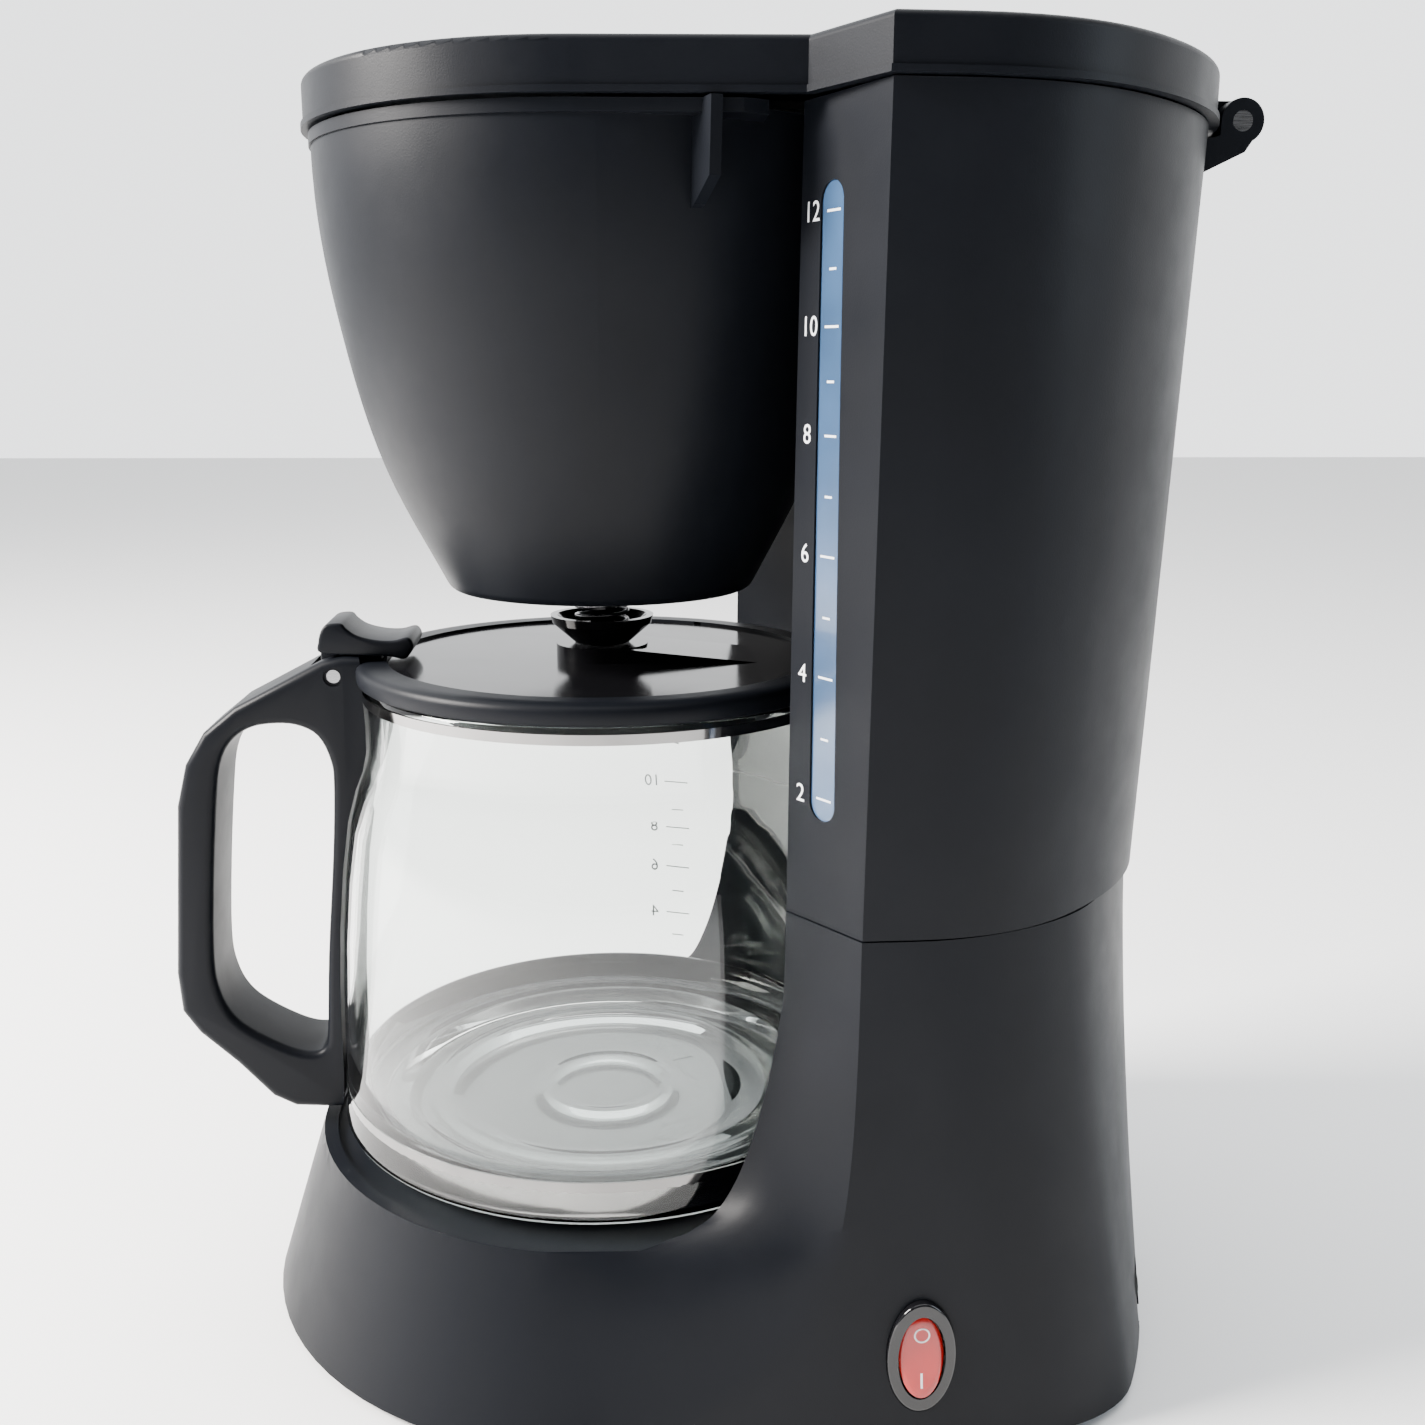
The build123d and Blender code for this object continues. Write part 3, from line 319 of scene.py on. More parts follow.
NODE_FINISH = {
    "satin": ("bottom_cover", "tower_shell", "tank_lid", "filter_basket", "jug_handle", "jug_lid"),
    "gloss": ("drip_valve_plunger", "switch_bezel"),
    "lid_gloss": ("jug_lid_well",),
    "rubber": ("rubber_feet", "cord_gland"),
    "silicone": ("cold_water_hose", "hot_water_hose", "drip_valve_seal"),
    "steel": ("bottom_screws", "element_clamp", "thermal_fuses", "hose_clamps"),
    "mirror": ("jug_base_band", "jug_neck_band"),
    "spring": ("drip_valve_spring", "lid_hinge_pin", "basket_pivot_pin", "jug_lid_pin"),
    "aluminium": ("heat_spreader", "heater_sheath", "heater_water_tube"),
    "coating": ("hot_plate",),
    "glass": ("jug_glass",),
    "blue": ("water_gauge_window",),
    "red": ("switch_rocker",),
    "brass": ("element_terminals", "switch_terminals"),
    "white": ("thermostat", "check_valve_ball", "riser_and_spout", "switch_body", "terminal_block"),
}


# ---- housing sections ----------------------------------------------------------------------
def mix(a, b, share):
    return a + (b - a) * share


def tangent_point(radius, target, centre_y=0.0):
    reach = hypot(target[0], target[1] - centre_y)
    angle = atan2(target[1] - centre_y, target[0]) - acos(radius / reach)
    return radius * cos(angle), centre_y + radius * sin(angle)


def flare(z):
    return max(0.0, (SEAM_Z - z) / (SEAM_Z - BASE_Z)) ** FLARE_POWER


def front_radius(z):
    """Skirt cone below the ring, then the cheek's tangent circle, shrinking as it climbs."""
    if z <= RIM_Z:
        return mix(SKIRT_R, BAY_R, (z - BASE_Z) / (RIM_Z - BASE_Z))
    swing = sqrt(min(1.0, (z - RIM_Z) / CHEEK_SWEEP))
    return max(CHEEK_END_R, BAY_R * (1 - swing))


def hermite(p, q, tangent_p, tangent_q, t):
    h1 = 2 * t ** 3 - 3 * t ** 2 + 1
    h2 = -2 * t ** 3 + 3 * t ** 2
    h3 = t ** 3 - 2 * t ** 2 + t
    h4 = t ** 3 - t ** 2
    return tuple(h1 * a + h2 * b + h3 * c + h4 * d for a, b, c, d in zip(p, q, tangent_p, tangent_q))


def leave_circle(start, end, radius):
    """Where the line from start to end comes out of a circle round the jug axis."""
    run = hypot(end[0] - start[0], end[1] - start[1])
    along = ((end[0] - start[0]) / run, (end[1] - start[1]) / run)
    lean = start[0] * along[0] + start[1] * along[1]
    step = sqrt(lean ** 2 - start[0] ** 2 - start[1] ** 2 + radius ** 2) - lean
    return start[0] + along[0] * step, start[1] + along[1] * step


def half_section(z, inset=0.0, steps=10):
    """Points of the base housing's plan on the +X side, from the front to the rear."""
    f = flare(z)
    crease = CORNER_Y - (CORNER_Y - CREASE_START_Y) * exp(-(z - BASE_Z) / CREASE_RISE)
    side = mix(SIDE_SEAM, SIDE_BASE, f)
    rear = mix(REAR_SEAM, REAR_BASE, f)
    front = front_radius(z)
    touch = tangent_point(front, (side, crease))
    start = tuple(c * (front - inset) / front for c in touch)
    share = (side - inset - start[0]) / (side - touch[0])
    knee = (side - inset, start[1] + (crease - touch[1]) * share)
    if z > RIM_Z:
        front = BAY_R - 1
        start = leave_circle(start, knee, front - inset)
    end = (side - inset, rear - mix(*SIDE_END_BACK, f))
    mid = (side - mix(*BULGE_IN, f) - 0.8 * inset, rear - mix(*BULGE_BACK, f) - 0.6 * inset)
    back = (0.0, rear - inset)
    half = atan2(start[1], start[0])
    points = []
    for k in range(2 * steps):
        angle = mix(-pi / 2, half, k / (2 * steps))
        points.append(((front - inset) * cos(angle), (front - inset) * sin(angle)))
    points += [(mix(start[0], knee[0], k / steps), mix(start[1], knee[1], k / steps)) for k in range(steps)]
    points += [(mix(knee[0], end[0], k / steps), mix(knee[1], end[1], k / steps)) for k in range(steps)]
    first, second = hypot(mid[0] - end[0], mid[1] - end[1]), hypot(back[0] - mid[0], back[1] - mid[1])
    slope = ((back[0] - end[0]) / (first + second), (back[1] - end[1]) / (first + second))
    arrive, leave = [(slope[0] * length, slope[1] * length) for length in (first, second)]
    points += [hermite(end, mid, (0, first), arrive, k / steps) for k in range(steps)]
    points += [hermite(mid, back, leave, (-second, 0), k / (2 * steps)) for k in range(2 * steps)]
    points.append(back)
    return points


def soften(rows, first, passes=14):
    """Ease the columns of the cheek and side along their height, leaving the front arc alone."""
    for _ in range(passes):
        before = [list(row) for row in rows]
        for k in range(first, len(rows[0])):
            weight = 0.5 * min(1.0, (k - first) / 3)
            for n in range(1, len(rows) - 1):
                rows[n][k] = tuple(mix(here, (under + over) / 2, weight) for here, under, over in
                                   zip(before[n][k], before[n - 1][k], before[n + 1][k]))


def housing_block(levels, inset, steps=10):
    """Closed skin of the base housing: a grid laid over its plans, closed at both ends."""
    rows = [[(x, y, z) for x, y in half_section(z, inset, steps)] for z in levels]
    soften(rows, 2 * steps)
    loops = [half + [(-x, y, z) for x, y, z in reversed(half[:-1])] for half in rows]
    count = len(loops[0])
    deselect()
    bpy.ops.mesh.primitive_grid_add(x_subdivisions=count - 1, y_subdivisions=len(levels) - 1)
    obj = bpy.context.object
    for n, loop in enumerate(loops):
        for k, place in enumerate(loop):
            obj.data.vertices[n * count + k].co = point(*place)
    bpy.ops.object.mode_set(mode="EDIT")
    bpy.ops.mesh.select_all(action="SELECT")
    bpy.ops.mesh.remove_doubles(threshold=0.00001)
    bpy.ops.mesh.fill_holes(sides=0)
    bpy.ops.mesh.select_all(action="SELECT")
    bpy.ops.mesh.normals_make_consistent(inside=False)
    bpy.ops.object.mode_set(mode="OBJECT")
    return obj


def cylinder(radius, low, high, sides=160):
    deselect()
    bpy.ops.mesh.primitive_cylinder_add(vertices=sides, radius=radius * MM, depth=(high - low) * MM,
                                        location=point(0, 0, (low + high) / 2))
    return bpy.context.object


def rod(radius, centre, length, axis, sides=48, stretch=(1, 1)):
    """A cylinder along X or Y, used to cut an opening."""
    deselect()
    turn = (0, pi / 2, 0) if axis == "X" else (pi / 2, 0, 0)
    bpy.ops.mesh.primitive_cylinder_add(vertices=sides, radius=radius * MM, depth=length * MM,
                                        location=point(*centre), rotation=turn)
    obj = bpy.context.object
    settle(obj)
    bpy.ops.transform.resize(value=(1, stretch[0], stretch[1]), center_override=point(*centre))
    return obj


GLASS_PROFILE = (
    (66.0, 48.0), (70.4, 48.5), (72.8, 49.9), (73.6, 51.6), (73.2, 52.8), (72.8, 62.0), (72.8, 74.0),
    (72.5, 88.0), (71.7, 104.0), (70.2, 120.0), (68.2, 134.0), (65.8, 142.8), (63.7, 148.0), (62.6, 153.0),
    (62.5, 160.0), (62.9, 168.0), (63.0, 170.6), (62.2, 171.2), (60.9, 171.1), (60.4, 168.0), (60.1, 160.0),
    (60.3, 153.6), (61.4, 148.6), (63.4, 143.2), (65.8, 134.4), (67.7, 120.0), (69.2, 104.0), (70.0, 88.0),
    (70.3, 74.0), (70.2, 64.0), (69.2, 58.6), (66.6, 55.4), (63.0, 54.2), (60.5, 54.6), (58.4, 54.4),
    (55.8, 52.8), (52.6, 51.6), (49.8, 51.9), (47.6, 52.5), (45.2, 52.3), (42.0, 50.9), (37.0, 50.4),
    (24.0, 50.4), (20.2, 50.5), (18.2, 51.2), (16.6, 51.3), (14.6, 50.6), (11.0, 50.4), (1.2, 50.4))
GLASS_OUTSIDE = 18                            # how many of its points are on the outside


def chamfer_frame():
    """Middle of the gauge on the tower's chamfer, with the directions along it and out of it."""
    z = (GAUGE_LOW + GAUGE_HIGH) / 2
    share = (z - SEAM_Z) / (TOWER_Z - SEAM_Z)
    corner = (mix(SIDE_SEAM, SIDE_TOP, share), CORNER_Y)
    touch = tangent_point(CHEEK_END_R, corner, TOWER_FRONT_Y * share)
    run = hypot(corner[0] - touch[0], corner[1] - touch[1])
    along = Vector(((corner[0] - touch[0]) / run, (corner[1] - touch[1]) / run, 0))
    lean = touch[0] * along.x + touch[1] * along.y
    edge = sqrt(lean ** 2 - hypot(*touch) ** 2 + BAY_R ** 2) - lean
    step = mix(edge, run, GAUGE_SHARE)
    return Vector((touch[0] + along.x * step, touch[1] + along.y * step, 0)), along


def land(node, start, toward):
    """Where a line first meets a node, and the way its surface faces there."""
    surface = bpy.data.objects[node]
    hit, place, normal, _ = surface.ray_cast(start, toward)
    if not hit:
        raise RuntimeError("nothing of " + node + " under the mark")
    return place, normal


def lay_on(obj, place, normal, along):
    """Stand a flat shape drawn in XY on a surface, its X axis along it."""
    side = (along - normal * along.dot(normal)).normalized()
    axes = Matrix((side, normal.cross(side), normal)).transposed()
    obj.matrix_world = Matrix.Translation(place) @ axes.to_4x4()
    settle(obj)
    return obj


def bar(width, height, thick=0.05):
    deselect()
    bpy.ops.mesh.primitive_cube_add(size=1)
    obj = bpy.context.object
    bpy.ops.object.mode_set(mode="EDIT")
    bpy.ops.transform.resize(value=(width * MM, height * MM, thick * MM), center_override=(0, 0, 0))
    bpy.ops.mesh.bevel(offset=min(height, thick) * 0.2 * MM, segments=1)
    bpy.ops.object.mode_set(mode="OBJECT")
    return obj


def lettering(text, height, thick=0.03):
    deselect()
    bpy.ops.object.text_add()
    obj = bpy.context.object
    obj.data.body = text
    obj.data.size = height * MM / 0.7
    obj.data.extrude = thick * MM
    obj.data.align_x = "CENTER"
    obj.data.align_y = "CENTER"
    obj.data.resolution_u = 4
    bpy.ops.object.convert(target="MESH")
    return bpy.context.object


def join(pieces):
    activate(pieces[0])
    for piece in pieces:
        piece.select_set(True)
    bpy.ops.object.join()
    return bpy.context.object


class CoffeeColours(bpy.types.PropertyGroup):
    housing: FloatVectorProperty(name="Housing", description="Satin black of the housing", size=3,
                                 subtype="COLOR", default=(0.0035, 0.0042, 0.006))
    gauge: FloatVectorProperty(name="Gauge", description="Blue of the water gauge", size=3,
                               subtype="COLOR", default=(0.035, 0.075, 0.15))
    rocker: FloatVectorProperty(name="Rocker", description="Red of the switch", size=3,
                                subtype="COLOR", default=(0.34, 0.003, 0.002))


class CoffeeSizes(bpy.types.PropertyGroup):
    levels: IntProperty(name="Levels", description="Rows in the base housing", default=44, min=8)
    print_height: FloatProperty(name="Print height", description="Height of the gauge numbers",
                                default=0.0042, unit="LENGTH")
    tick: FloatProperty(name="Tick", description="Thickness of the printed lines",
                        default=0.0005, unit="LENGTH")


class COFFEE_OT_finishes(bpy.types.Operator):
    """Give every piece of the frame its finish"""
    bl_idname = "coffee.finishes"
    bl_label = "Finishes"

    def execute(self, context):
        make_finishes(context.scene.coffee_colours)
        for finish, names in NODE_FINISH.items():
            for name in names:
                paint(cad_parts[name], FINISHES[finish])
        return {"FINISHED"}


def base_levels(count):
    """Rows packed closely where the cheek leaves the ring."""
    lower = [mix(BASE_Z, RIM_Z, k / 12) for k in range(12)]
    rest = count - 12
    upper = [RIM_Z + (SEAM_Z - RIM_Z) * (k / rest) ** 1.15 for k in range(rest + 1)]
    return lower + upper


class COFFEE_OT_base(bpy.types.Operator):
    """Base housing: skirt, ring, swept cheeks and concave bay"""
    bl_idname = "coffee.base"
    bl_label = "Base housing"

    def execute(self, context):
        levels = base_levels(context.scene.coffee_sizes.levels)
        deck = RIM_Z - DECK_T
        shell = housing_block(levels, 0.0)
        cut(shell, cylinder(BAY_R, RIM_Z, SEAM_Z + 5))
        hollow = housing_block(levels, WALL)
        hollow.location.z = -0.00001
        settle(hollow)
        cut(hollow, cylinder(BAY_R + WALL, deck, SEAM_Z + 5))
        cut(shell, hollow)
        cut(shell, cylinder(BAY_R - RIM_W, RIM_Z - RIM_H, RIM_Z + 5))
        cut(shell, cylinder(PLATE_HOLE_R, deck - 5, RIM_Z + 5))
        panel = mix(SIDE_SEAM, SIDE_BASE, flare(SWITCH_Z))
        tall = BEZEL_H / BEZEL_W
        cut(shell, rod(BEZEL_W / 2 - 1.7, (panel, SWITCH_Y, SWITCH_Z), 20, "X", stretch=(1, tall)))
        cut(shell, rod(BEZEL_W / 2 + 0.1, (panel - BEZEL_SUNK + 5, SWITCH_Y, SWITCH_Z), 10, "X",
                       stretch=(1, tall)))
        cut(shell, rod(GLAND_R, (GLAND_X, 145, GLAND_Z), 40, "Y"))
        cut(shell, rod(GLAND_R, (GLAND_X, 145, GLAND_Z / 2), 40, "Y", stretch=(1, 1.2)))
        smooth(shell, 30)
        finish_piece(shell, "base_housing", "housing", FINISHES["satin"])
        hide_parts("base_shell")
        return {"FINISHED"}


class COFFEE_OT_glass(bpy.types.Operator):
    """Jug glass with a thick stepped floor"""
    bl_idname = "coffee.glass"
    bl_label = "Jug glass"

    def execute(self, context):
        glass = ring_stack(GLASS_PROFILE, 128)
        smooth(glass, 60)
        finish_piece(glass, "jug_glass_turned", "jug", FINISHES["glass"])
        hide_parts("jug_glass")
        return {"FINISHED"}


GAUGE_MARKS = (("12", 284.0), ("10", 260.6), ("8", 237.9), ("6", 212.0), ("4", 185.0), ("2", 157.0))
JUG_MARKS = (("10", 124.2), ("8", 105.6), ("6", 91.0), ("4", 76.0))
JUG_MARK_TURN, JUG_MARK_HIGHEST, JUG_MARK_LOWEST = radians(160.5), 133.4, 68.5
LONG_TICK, SHORT_TICK, NUMBER_ASIDE = 4.9, 2.5, 7.4
JUG_LONG_TICK, JUG_SHORT_TICK, JUG_NUMBER_ASIDE, JUG_LINE, JUG_NUMBER_H = 8.0, 4.0, 8, 0.35, 3.8
RAY_FROM, JUG_RAY_FROM = 20, 90               # how far out the lines that look for a surface start
PRINT_LIFT = 0.00002                          # metres, how far numbers stand off their surface


class COFFEE_OT_marks(bpy.types.Operator):
    """Printed scale of the water gauge, with its numbers on the chamfer"""
    bl_idname = "coffee.marks"
    bl_label = "Gauge scale"

    def execute(self, context):
        sizes = context.scene.coffee_sizes
        line, number = sizes.tick / MM, sizes.print_height / MM
        centre, along = chamfer_frame()
        out = Vector((along.y, -along.x, 0))
        ticks, numbers = [], []
        heights = [z for _, z in GAUGE_MARKS]
        for z in heights + [(a + b) / 2 for a, b in zip(heights, heights[1:])]:
            wide = LONG_TICK if z in heights else SHORT_TICK
            start = centre + out * RAY_FROM
            place, normal = land("water_gauge_window", point(*start.xy, z), -out)
            ticks.append(lay_on(bar(wide, line), place, normal, along))
        for text, z in GAUGE_MARKS:
            start = centre + out * RAY_FROM - along * NUMBER_ASIDE
            place, normal = land("tower_shell", point(*start.xy, z), -out)
            numbers.append(lay_on(lettering(text, number), place + normal * PRINT_LIFT, normal, along))
        finish_piece(join(ticks), "gauge_ticks", "housing", FINISHES["print"])
        finish_piece(join(numbers), "gauge_numbers", "housing", FINISHES["print"])
        return {"FINISHED"}


class COFFEE_OT_jug_scale(bpy.types.Operator):
    """Faint measuring scale printed on the outside of the jug"""
    bl_idname = "coffee.jug_scale"
    bl_label = "Jug scale"

    def execute(self, context):
        pieces = []
        out = Vector((cos(JUG_MARK_TURN), sin(JUG_MARK_TURN), 0))
        along = Vector((-out.y, out.x, 0))
        heights = [z for _, z in JUG_MARKS]
        halfway = [(a + b) / 2 for a, b in zip(heights, heights[1:])]
        for z in heights + [JUG_MARK_HIGHEST] + halfway + [JUG_MARK_LOWEST]:
            wide = JUG_LONG_TICK if z in heights else JUG_SHORT_TICK
            start = out * JUG_RAY_FROM
            place, normal = land("jug_glass", point(*start.xy, z), -out)
            pieces.append(lay_on(bar(wide, JUG_LINE), place, normal, along))
        for text, z in JUG_MARKS:
            start = out * JUG_RAY_FROM + along * JUG_NUMBER_ASIDE
            place, normal = land("jug_glass", point(*start.xy, z), -out)
            print_on = lay_on(lettering(text, JUG_NUMBER_H), place + normal * PRINT_LIFT, normal, along)
            pieces.append(print_on)
        finish_piece(join(pieces), "jug_scale", "jug", FINISHES["grey_print"])
        return {"FINISHED"}


HANDLE_OUTLINE = (
    (-55.0, 178.0), (-67.6, 178.6), (-73.0, 177.4), (-96.0, 165.4), (-104.4, 158.6), (-109.6, 150.0),
    (-112.4, 139.0), (-115.9, 92.0), (-115.2, 81.0), (-111.0, 74.6), (-101.4, 65.4), (-92.4, 55.2),
    (-86.4, 52.0), (-77.0, 51.4), (-55.0, 51.4))
HANDLE_HOLE = (
    (-87.0, 160.8), (-92.8, 159.6), (-97.6, 156.0), (-100.6, 150.0), (-102.2, 140.0), (-104.4, 118.0),
    (-105.8, 96.0), (-104.8, 86.4), (-101.6, 79.4), (-96.0, 74.4), (-87.0, 69.4), (-81.0, 68.0),
    (-77.8, 69.4), (-76.8, 74.0), (-75.4, 96.0), (-72.8, 124.0), (-71.6, 143.0), (-72.0, 150.6),
    (-75.0, 157.4), (-80.4, 160.4))
HANDLE_HALF, HANDLE_ROUND = 11.9, 2.2
PIN_Y, PIN_Z, THUMB_HALF = -70.0, 173.4, 10.4
PIN_HOLE_R, PIN_DIMPLE_R, SLOT_HALF, ARM_HALF = 1.81, 2.5, 6.6, 6.0
THUMB_OUTLINE = (
    (-73.0, 179.4), (-73.6, 182.4), (-72.6, 185.6), (-71.0, 187.0), (-67.6, 187.2), (-66.2, 185.8),
    (-63.6, 184.0), (-59.0, 182.8), (-54.4, 182.6), (-51.0, 183.4), (-49.6, 182.6), (-49.2, 180.8),
    (-50.4, 178.6), (-52.0, 177.6), (-56.0, 178.4), (-63.0, 178.7))
LID_PROFILE = (
    (58.9, 167.7), (59.4, 168.6), (59.4, 171.5), (64.3, 171.5), (65.0, 172.0), (65.2, 173.0),
    (65.2, 174.8), (64.9, 175.8), (64.2, 176.5), (63.0, 176.9), (61.0, 177.0), (40.0, 177.0))
LID_WELL_R, LID_PLATE_LOW, LID_PLATE_HIGH = 57.0, 172.2, 174.2


def prism(outline, half):
    """Straight-sided block across the machine, from an outline of (y, z) in millimetres."""
    deselect()
    bpy.ops.mesh.primitive_circle_add(vertices=len(outline), radius=1, fill_type="NGON")
    obj = bpy.context.object
    for vertex, (y, z) in zip(obj.data.vertices, outline):
        vertex.co = point(-half, y, z)
    bpy.ops.object.mode_set(mode="EDIT")
    bpy.ops.mesh.select_all(action="SELECT")
    bpy.ops.mesh.extrude_region_move(TRANSFORM_OT_translate={"value": (2 * half * MM, 0, 0)})
    bpy.ops.mesh.select_all(action="SELECT")
    bpy.ops.mesh.normals_make_consistent(inside=False)
    bpy.ops.object.mode_set(mode="OBJECT")
    return obj


def block(x0, x1, y0, y1, z0, z1):
    deselect()
    bpy.ops.mesh.primitive_cube_add(size=1, location=point((x0 + x1) / 2, (y0 + y1) / 2, (z0 + z1) / 2))
    obj = bpy.context.object
    obj.scale = ((x1 - x0) * MM, (y1 - y0) * MM, (z1 - z0) * MM)
    settle(obj)
    return obj


def curved(outline, steps=4):
    """The same outline with its corners eased by a closed curve through every point."""
    count, places = len(outline), []
    for n in range(count):
        before, here, there, after = (outline[(n + k) % count] for k in (-1, 0, 1, 2))
        leave = tuple((b - a) / 2 for a, b in zip(before, there))
        arrive = tuple((b - a) / 2 for a, b in zip(here, after))
        places += [hermite(here, there, leave, arrive, k / steps) for k in range(steps)]
    return places


class COFFEE_OT_handle(bpy.types.Operator):
    """Jug handle: rounded loop with a slot for the lid's arm and a pin dimple each side"""
    bl_idname = "coffee.handle"
    bl_label = "Jug handle"

    def execute(self, context):
        handle = prism(HANDLE_OUTLINE, HANDLE_HALF)
        cut(handle, prism(curved(HANDLE_HOLE), HANDLE_HALF + 5))
        apply_modifier(handle, "BEVEL", width=HANDLE_ROUND * MM, segments=4, limit_method="ANGLE",
                       angle_limit=radians(50))
        jug = [(radius + 0.9, z) for radius, z in GLASS_PROFILE[:GLASS_OUTSIDE]] + [(66, 190.0)]
        cut(handle, ring_stack(jug, 128))
        cut(handle, block(-SLOT_HALF, SLOT_HALF, PIN_Y - 6.5, -50, PIN_Z - 6.5, 190))
        cut(handle, rod(PIN_DIMPLE_R, (HANDLE_HALF, PIN_Y, PIN_Z), 1.2, "X"))
        cut(handle, rod(PIN_DIMPLE_R, (-HANDLE_HALF, PIN_Y, PIN_Z), 1.2, "X"))
        cut(handle, rod(PIN_HOLE_R, (0, PIN_Y, PIN_Z), 60, "X"))
        smooth(handle, 32)
        finish_piece(handle, "handle_loop", "jug", FINISHES["satin"])
        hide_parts("jug_handle")
        return {"FINISHED"}


class COFFEE_OT_jug_lid(bpy.types.Operator):
    """Jug lid ring with a saddle-shaped thumb lever and its hinge arm"""
    bl_idname = "coffee.jug_lid"
    bl_label = "Jug lid"

    def execute(self, context):
        lid = ring_stack(LID_PROFILE, 160)
        cut(lid, cylinder(LID_WELL_R, LID_PLATE_HIGH, 190))
        cut(lid, cylinder(LID_WELL_R, 160, LID_PLATE_LOW))
        thumb = prism(curved(THUMB_OUTLINE), THUMB_HALF)
        apply_modifier(thumb, "BEVEL", width=0.0008, segments=3, limit_method="ANGLE",
                       angle_limit=radians(50))
        arm = block(-ARM_HALF, ARM_HALF, PIN_Y - 3.9, -58, PIN_Z - 1.6, 179.2)
        apply_modifier(arm, "BEVEL", width=0.0006, segments=2)
        cut(arm, rod(1.85, (0, PIN_Y, PIN_Z), 40, "X"))
        for piece in (lid, thumb, arm):
            smooth(piece, 35)
        finish_piece(join([lid, thumb, arm]), "jug_lid_ring", "jug_lid", FINISHES["satin"])
        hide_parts("jug_lid")
        return {"FINISHED"}


# Metres: what the rocker's face is hollowed by, its raised edge, its tilt and how deep it is.
ROCKER_DISH, ROCKER_EDGE, ROCKER_TILT, ROCKER_DEEP = 0.0009, 0.0007, 0.0024, 0.008
ROCKER_SPARE = 0.0006                         # left free at the top and bottom of the bezel
MARK_FROM_MIDDLE, RING_R, RING_WIRE_R = 5.6, 1.75, 0.2


class COFFEE_OT_rocker(bpy.types.Operator):
    """Oval rocker with a hollowed face, its lower half standing proud"""
    bl_idname = "coffee.rocker"
    bl_label = "Rocker"

    def execute(self, context):
        low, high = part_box("switch_rocker")
        middle = point(0, SWITCH_Y, SWITCH_Z)
        deselect()
        bpy.ops.mesh.primitive_cylinder_add(vertices=72, radius=1, depth=2, end_fill_type="NGON",
                                            rotation=(0, pi / 2, 0))
        obj = bpy.context.object
        settle(obj)
        bpy.ops.object.mode_set(mode="EDIT")
        bpy.ops.mesh.select_mode(type="FACE")
        select_faces(obj, lambda face: face.normal.x > 0.9)
        for _ in range(5):
            bpy.ops.mesh.inset(thickness=0.12)
        bpy.ops.object.mode_set(mode="OBJECT")
        half_y, half_z = (high[1] - low[1]) / 2, (high[2] - low[2]) / 2 - ROCKER_SPARE
        for vertex in obj.data.vertices:
            x, y, z = vertex.co
            reach = hypot(y, z)
            dish = ROCKER_DISH * (1 - z * z) + ROCKER_EDGE * max(0.0, reach - 0.86) / 0.14
            outer = high[0] - 0.0001 - dish - ROCKER_TILT * (z + 1) / 2
            if x > 0:
                vertex.co = (outer, middle.y + y * half_y, middle.z + z * half_z)
            else:
                vertex.co = (high[0] - ROCKER_DEEP, middle.y + 0.9 * y * half_y,
                             middle.z + 0.66 * z * half_z)
        smooth(obj, 40)
        finish_piece(obj, "rocker_cap", "rocker", FINISHES["red"])
        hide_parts("switch_rocker")
        return {"FINISHED"}


class COFFEE_OT_switch_marks(bpy.types.Operator):
    """Round and straight marks moulded on the rocker"""
    bl_idname = "coffee.switch_marks"
    bl_label = "Switch marks"

    def execute(self, context):
        inward, along = Vector((-1, 0, 0)), Vector((0, 1, 0))
        place, normal = land("rocker_cap", point(120, SWITCH_Y, SWITCH_Z + MARK_FROM_MIDDLE), inward)
        deselect()
        bpy.ops.mesh.primitive_torus_add(major_radius=RING_R * MM, minor_radius=RING_WIRE_R * MM,
                                         major_segments=40, minor_segments=8)
        ring = lay_on(bpy.context.object, place, normal, along)
        place, normal = land("rocker_cap", point(120, SWITCH_Y, SWITCH_Z - MARK_FROM_MIDDLE), inward)
        line = lay_on(bar(0.5, 3.6, 0.1), place, normal, along)
        finish_piece(join([ring, line]), "switch_marks", "rocker", FINISHES["print"])
        return {"FINISHED"}


# ---- stage ---------------------------------------------------------------------------------
# Camera in millimetres, the same way as the sizes above; its turns in degrees, its lens in millimetres.
CAMERA_AT = (400.0, 0.0, 251.9)
CAMERA_PITCH, CAMERA_YAW, CAMERA_ROLL = radians(12.91), radians(4.27), radians(0.2)
CAMERA_LENS = 37.9


def area_light(name, location, target, size, power, tone=(1, 1, 1)):
    data = bpy.data.lights.new(name, "AREA")
    data.shape = "RECTANGLE"
    data.size, data.size_y = size
    data.energy = power
    data.color = tone
    light = bpy.data.objects.new(name, data)
    bpy.context.collection.objects.link(light)
    light.location = location
    light.rotation_euler = (Vector(target) - Vector(location)).to_track_quat("-Z", "Y").to_euler()


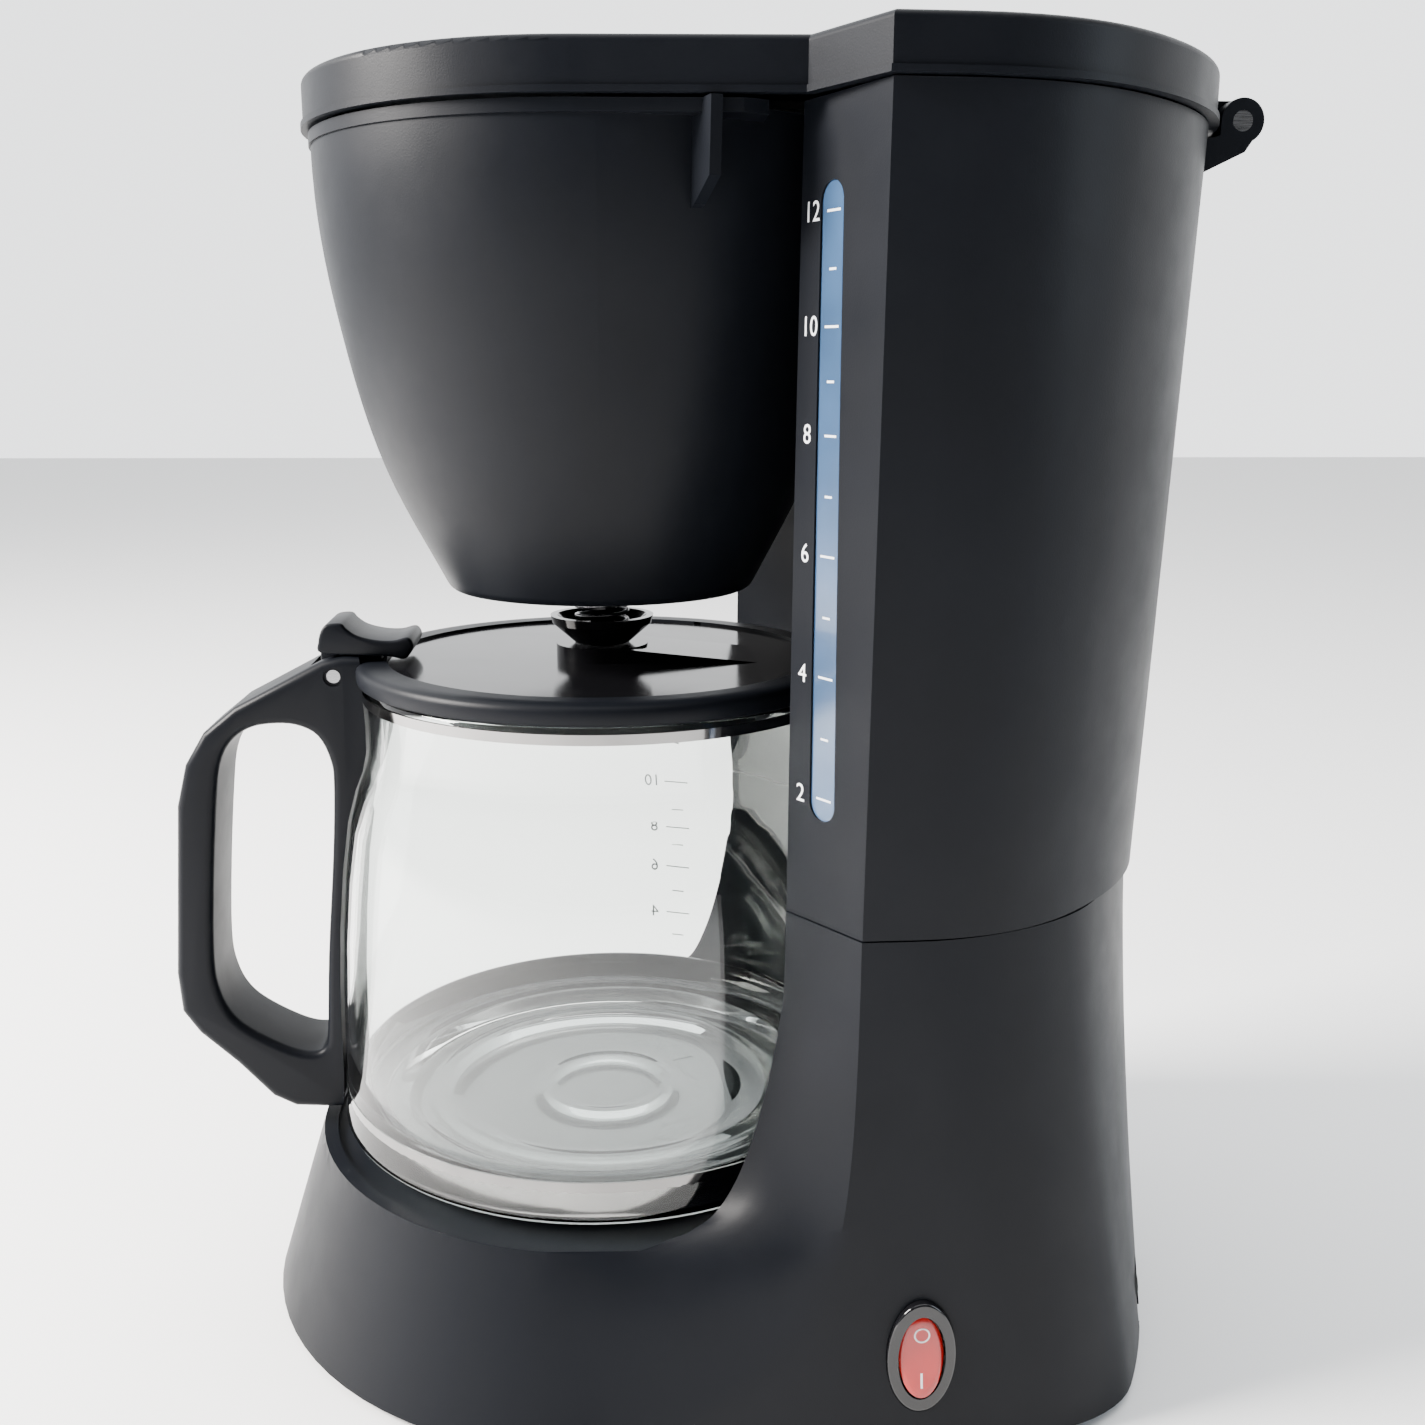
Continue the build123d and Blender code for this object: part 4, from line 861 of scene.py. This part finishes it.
class COFFEE_OT_stage(bpy.types.Operator):
    """Camera, soft lights and pale floor"""
    bl_idname = "coffee.stage"
    bl_label = "Stage"

    def execute(self, context):
        data = bpy.data.cameras.new("camera")
        camera = bpy.data.objects.new("camera", data)
        context.collection.objects.link(camera)
        data.lens, data.sensor_width, data.clip_start = CAMERA_LENS, 36.0, 0.01
        forward = Vector((-cos(CAMERA_YAW) * cos(CAMERA_PITCH), sin(CAMERA_YAW) * cos(CAMERA_PITCH),
                          -sin(CAMERA_PITCH)))
        right = Vector((sin(CAMERA_YAW), cos(CAMERA_YAW), 0))
        up = right.cross(forward)
        rolled = right * cos(CAMERA_ROLL) + up * sin(CAMERA_ROLL)
        upward = up * cos(CAMERA_ROLL) - right * sin(CAMERA_ROLL)
        axes = Matrix((rolled, upward, -forward)).transposed()
        camera.matrix_world = Matrix.Translation(point(*CAMERA_AT)) @ axes.to_4x4()
        context.scene.camera = camera

        deselect()
        bpy.ops.mesh.primitive_plane_add(size=8, location=(0, 0, 0))
        floor = context.object
        floor.name = "floor"
        material, tree, shader = new_material("floor")
        shader.inputs["Base Color"].default_value = (0.94, 0.94, 0.94, 1)
        shader.inputs["Roughness"].default_value = 0.7
        paint(floor, material)

        world = bpy.data.worlds.new("world")
        context.scene.world = world
        world.use_nodes = True
        tree = world.node_tree
        back = tree.nodes["Background"]
        coords = tree.nodes.new("ShaderNodeTexCoord")
        parts = tree.nodes.new("ShaderNodeSeparateXYZ")
        tree.links.new(coords.outputs["Generated"], parts.inputs["Vector"])
        shade = tree.nodes.new("ShaderNodeMapRange")
        for key, value in (("From Min", -0.5), ("From Max", 0.5), ("To Min", 2.6), ("To Max", 0.04)):
            shade.inputs[key].default_value = value
        tree.links.new(parts.outputs["X"], shade.inputs["Value"])
        tree.links.new(shade.outputs["Result"], back.inputs["Strength"])
        back.inputs["Color"].default_value = (0.97, 0.985, 1.0, 1)
        area_light("window", (0.12, -1.2, 0.85), (0.02, 0, 0.1), (0.5, 0.5), 110, (1.0, 0.96, 0.92))
        area_light("rear", (0.45, 1.1, 0.6), (0.05, 0.1, 0.15), (0.3, 0.8), 6, (0.8, 0.9, 1.0))
        area_light("top", (0.1, 0.0, 1.5), (0, 0, 0.2), (1.6, 1.6), 14)
        return {"FINISHED"}


class COFFEE_PT_panel(bpy.types.Panel):
    """Lists the pieces that the coffee maker is made of"""
    bl_idname = "COFFEE_PT_panel"
    bl_label = "Drip coffee maker"
    bl_space_type = "VIEW_3D"
    bl_region_type = "UI"
    bl_category = "Coffee"

    def draw(self, context):
        for group in (context.scene.coffee_colours, context.scene.coffee_sizes):
            for name in group.__annotations__:
                self.layout.prop(group, name)
        for operator in OPERATORS:
            self.layout.operator(operator.bl_idname)


OPERATORS = (COFFEE_OT_finishes, COFFEE_OT_base, COFFEE_OT_marks, COFFEE_OT_jug_scale, COFFEE_OT_glass,
             COFFEE_OT_handle, COFFEE_OT_jug_lid, COFFEE_OT_rocker, COFFEE_OT_switch_marks, COFFEE_OT_stage)
CLASSES = (CoffeeColours, CoffeeSizes) + OPERATORS + (COFFEE_PT_panel,)


def register():
    for cls in CLASSES:
        bpy.utils.register_class(cls)
    bpy.types.Scene.coffee_colours = PointerProperty(type=CoffeeColours)
    bpy.types.Scene.coffee_sizes = PointerProperty(type=CoffeeSizes)


def unregister():
    del bpy.types.Scene.coffee_sizes
    del bpy.types.Scene.coffee_colours
    for cls in reversed(CLASSES):
        bpy.utils.unregister_class(cls)


def main():
    register()
    for operator in OPERATORS:
        group, name = operator.bl_idname.split(".")
        getattr(getattr(bpy.ops, group), name)()


if __name__ == "__main__":
    main()
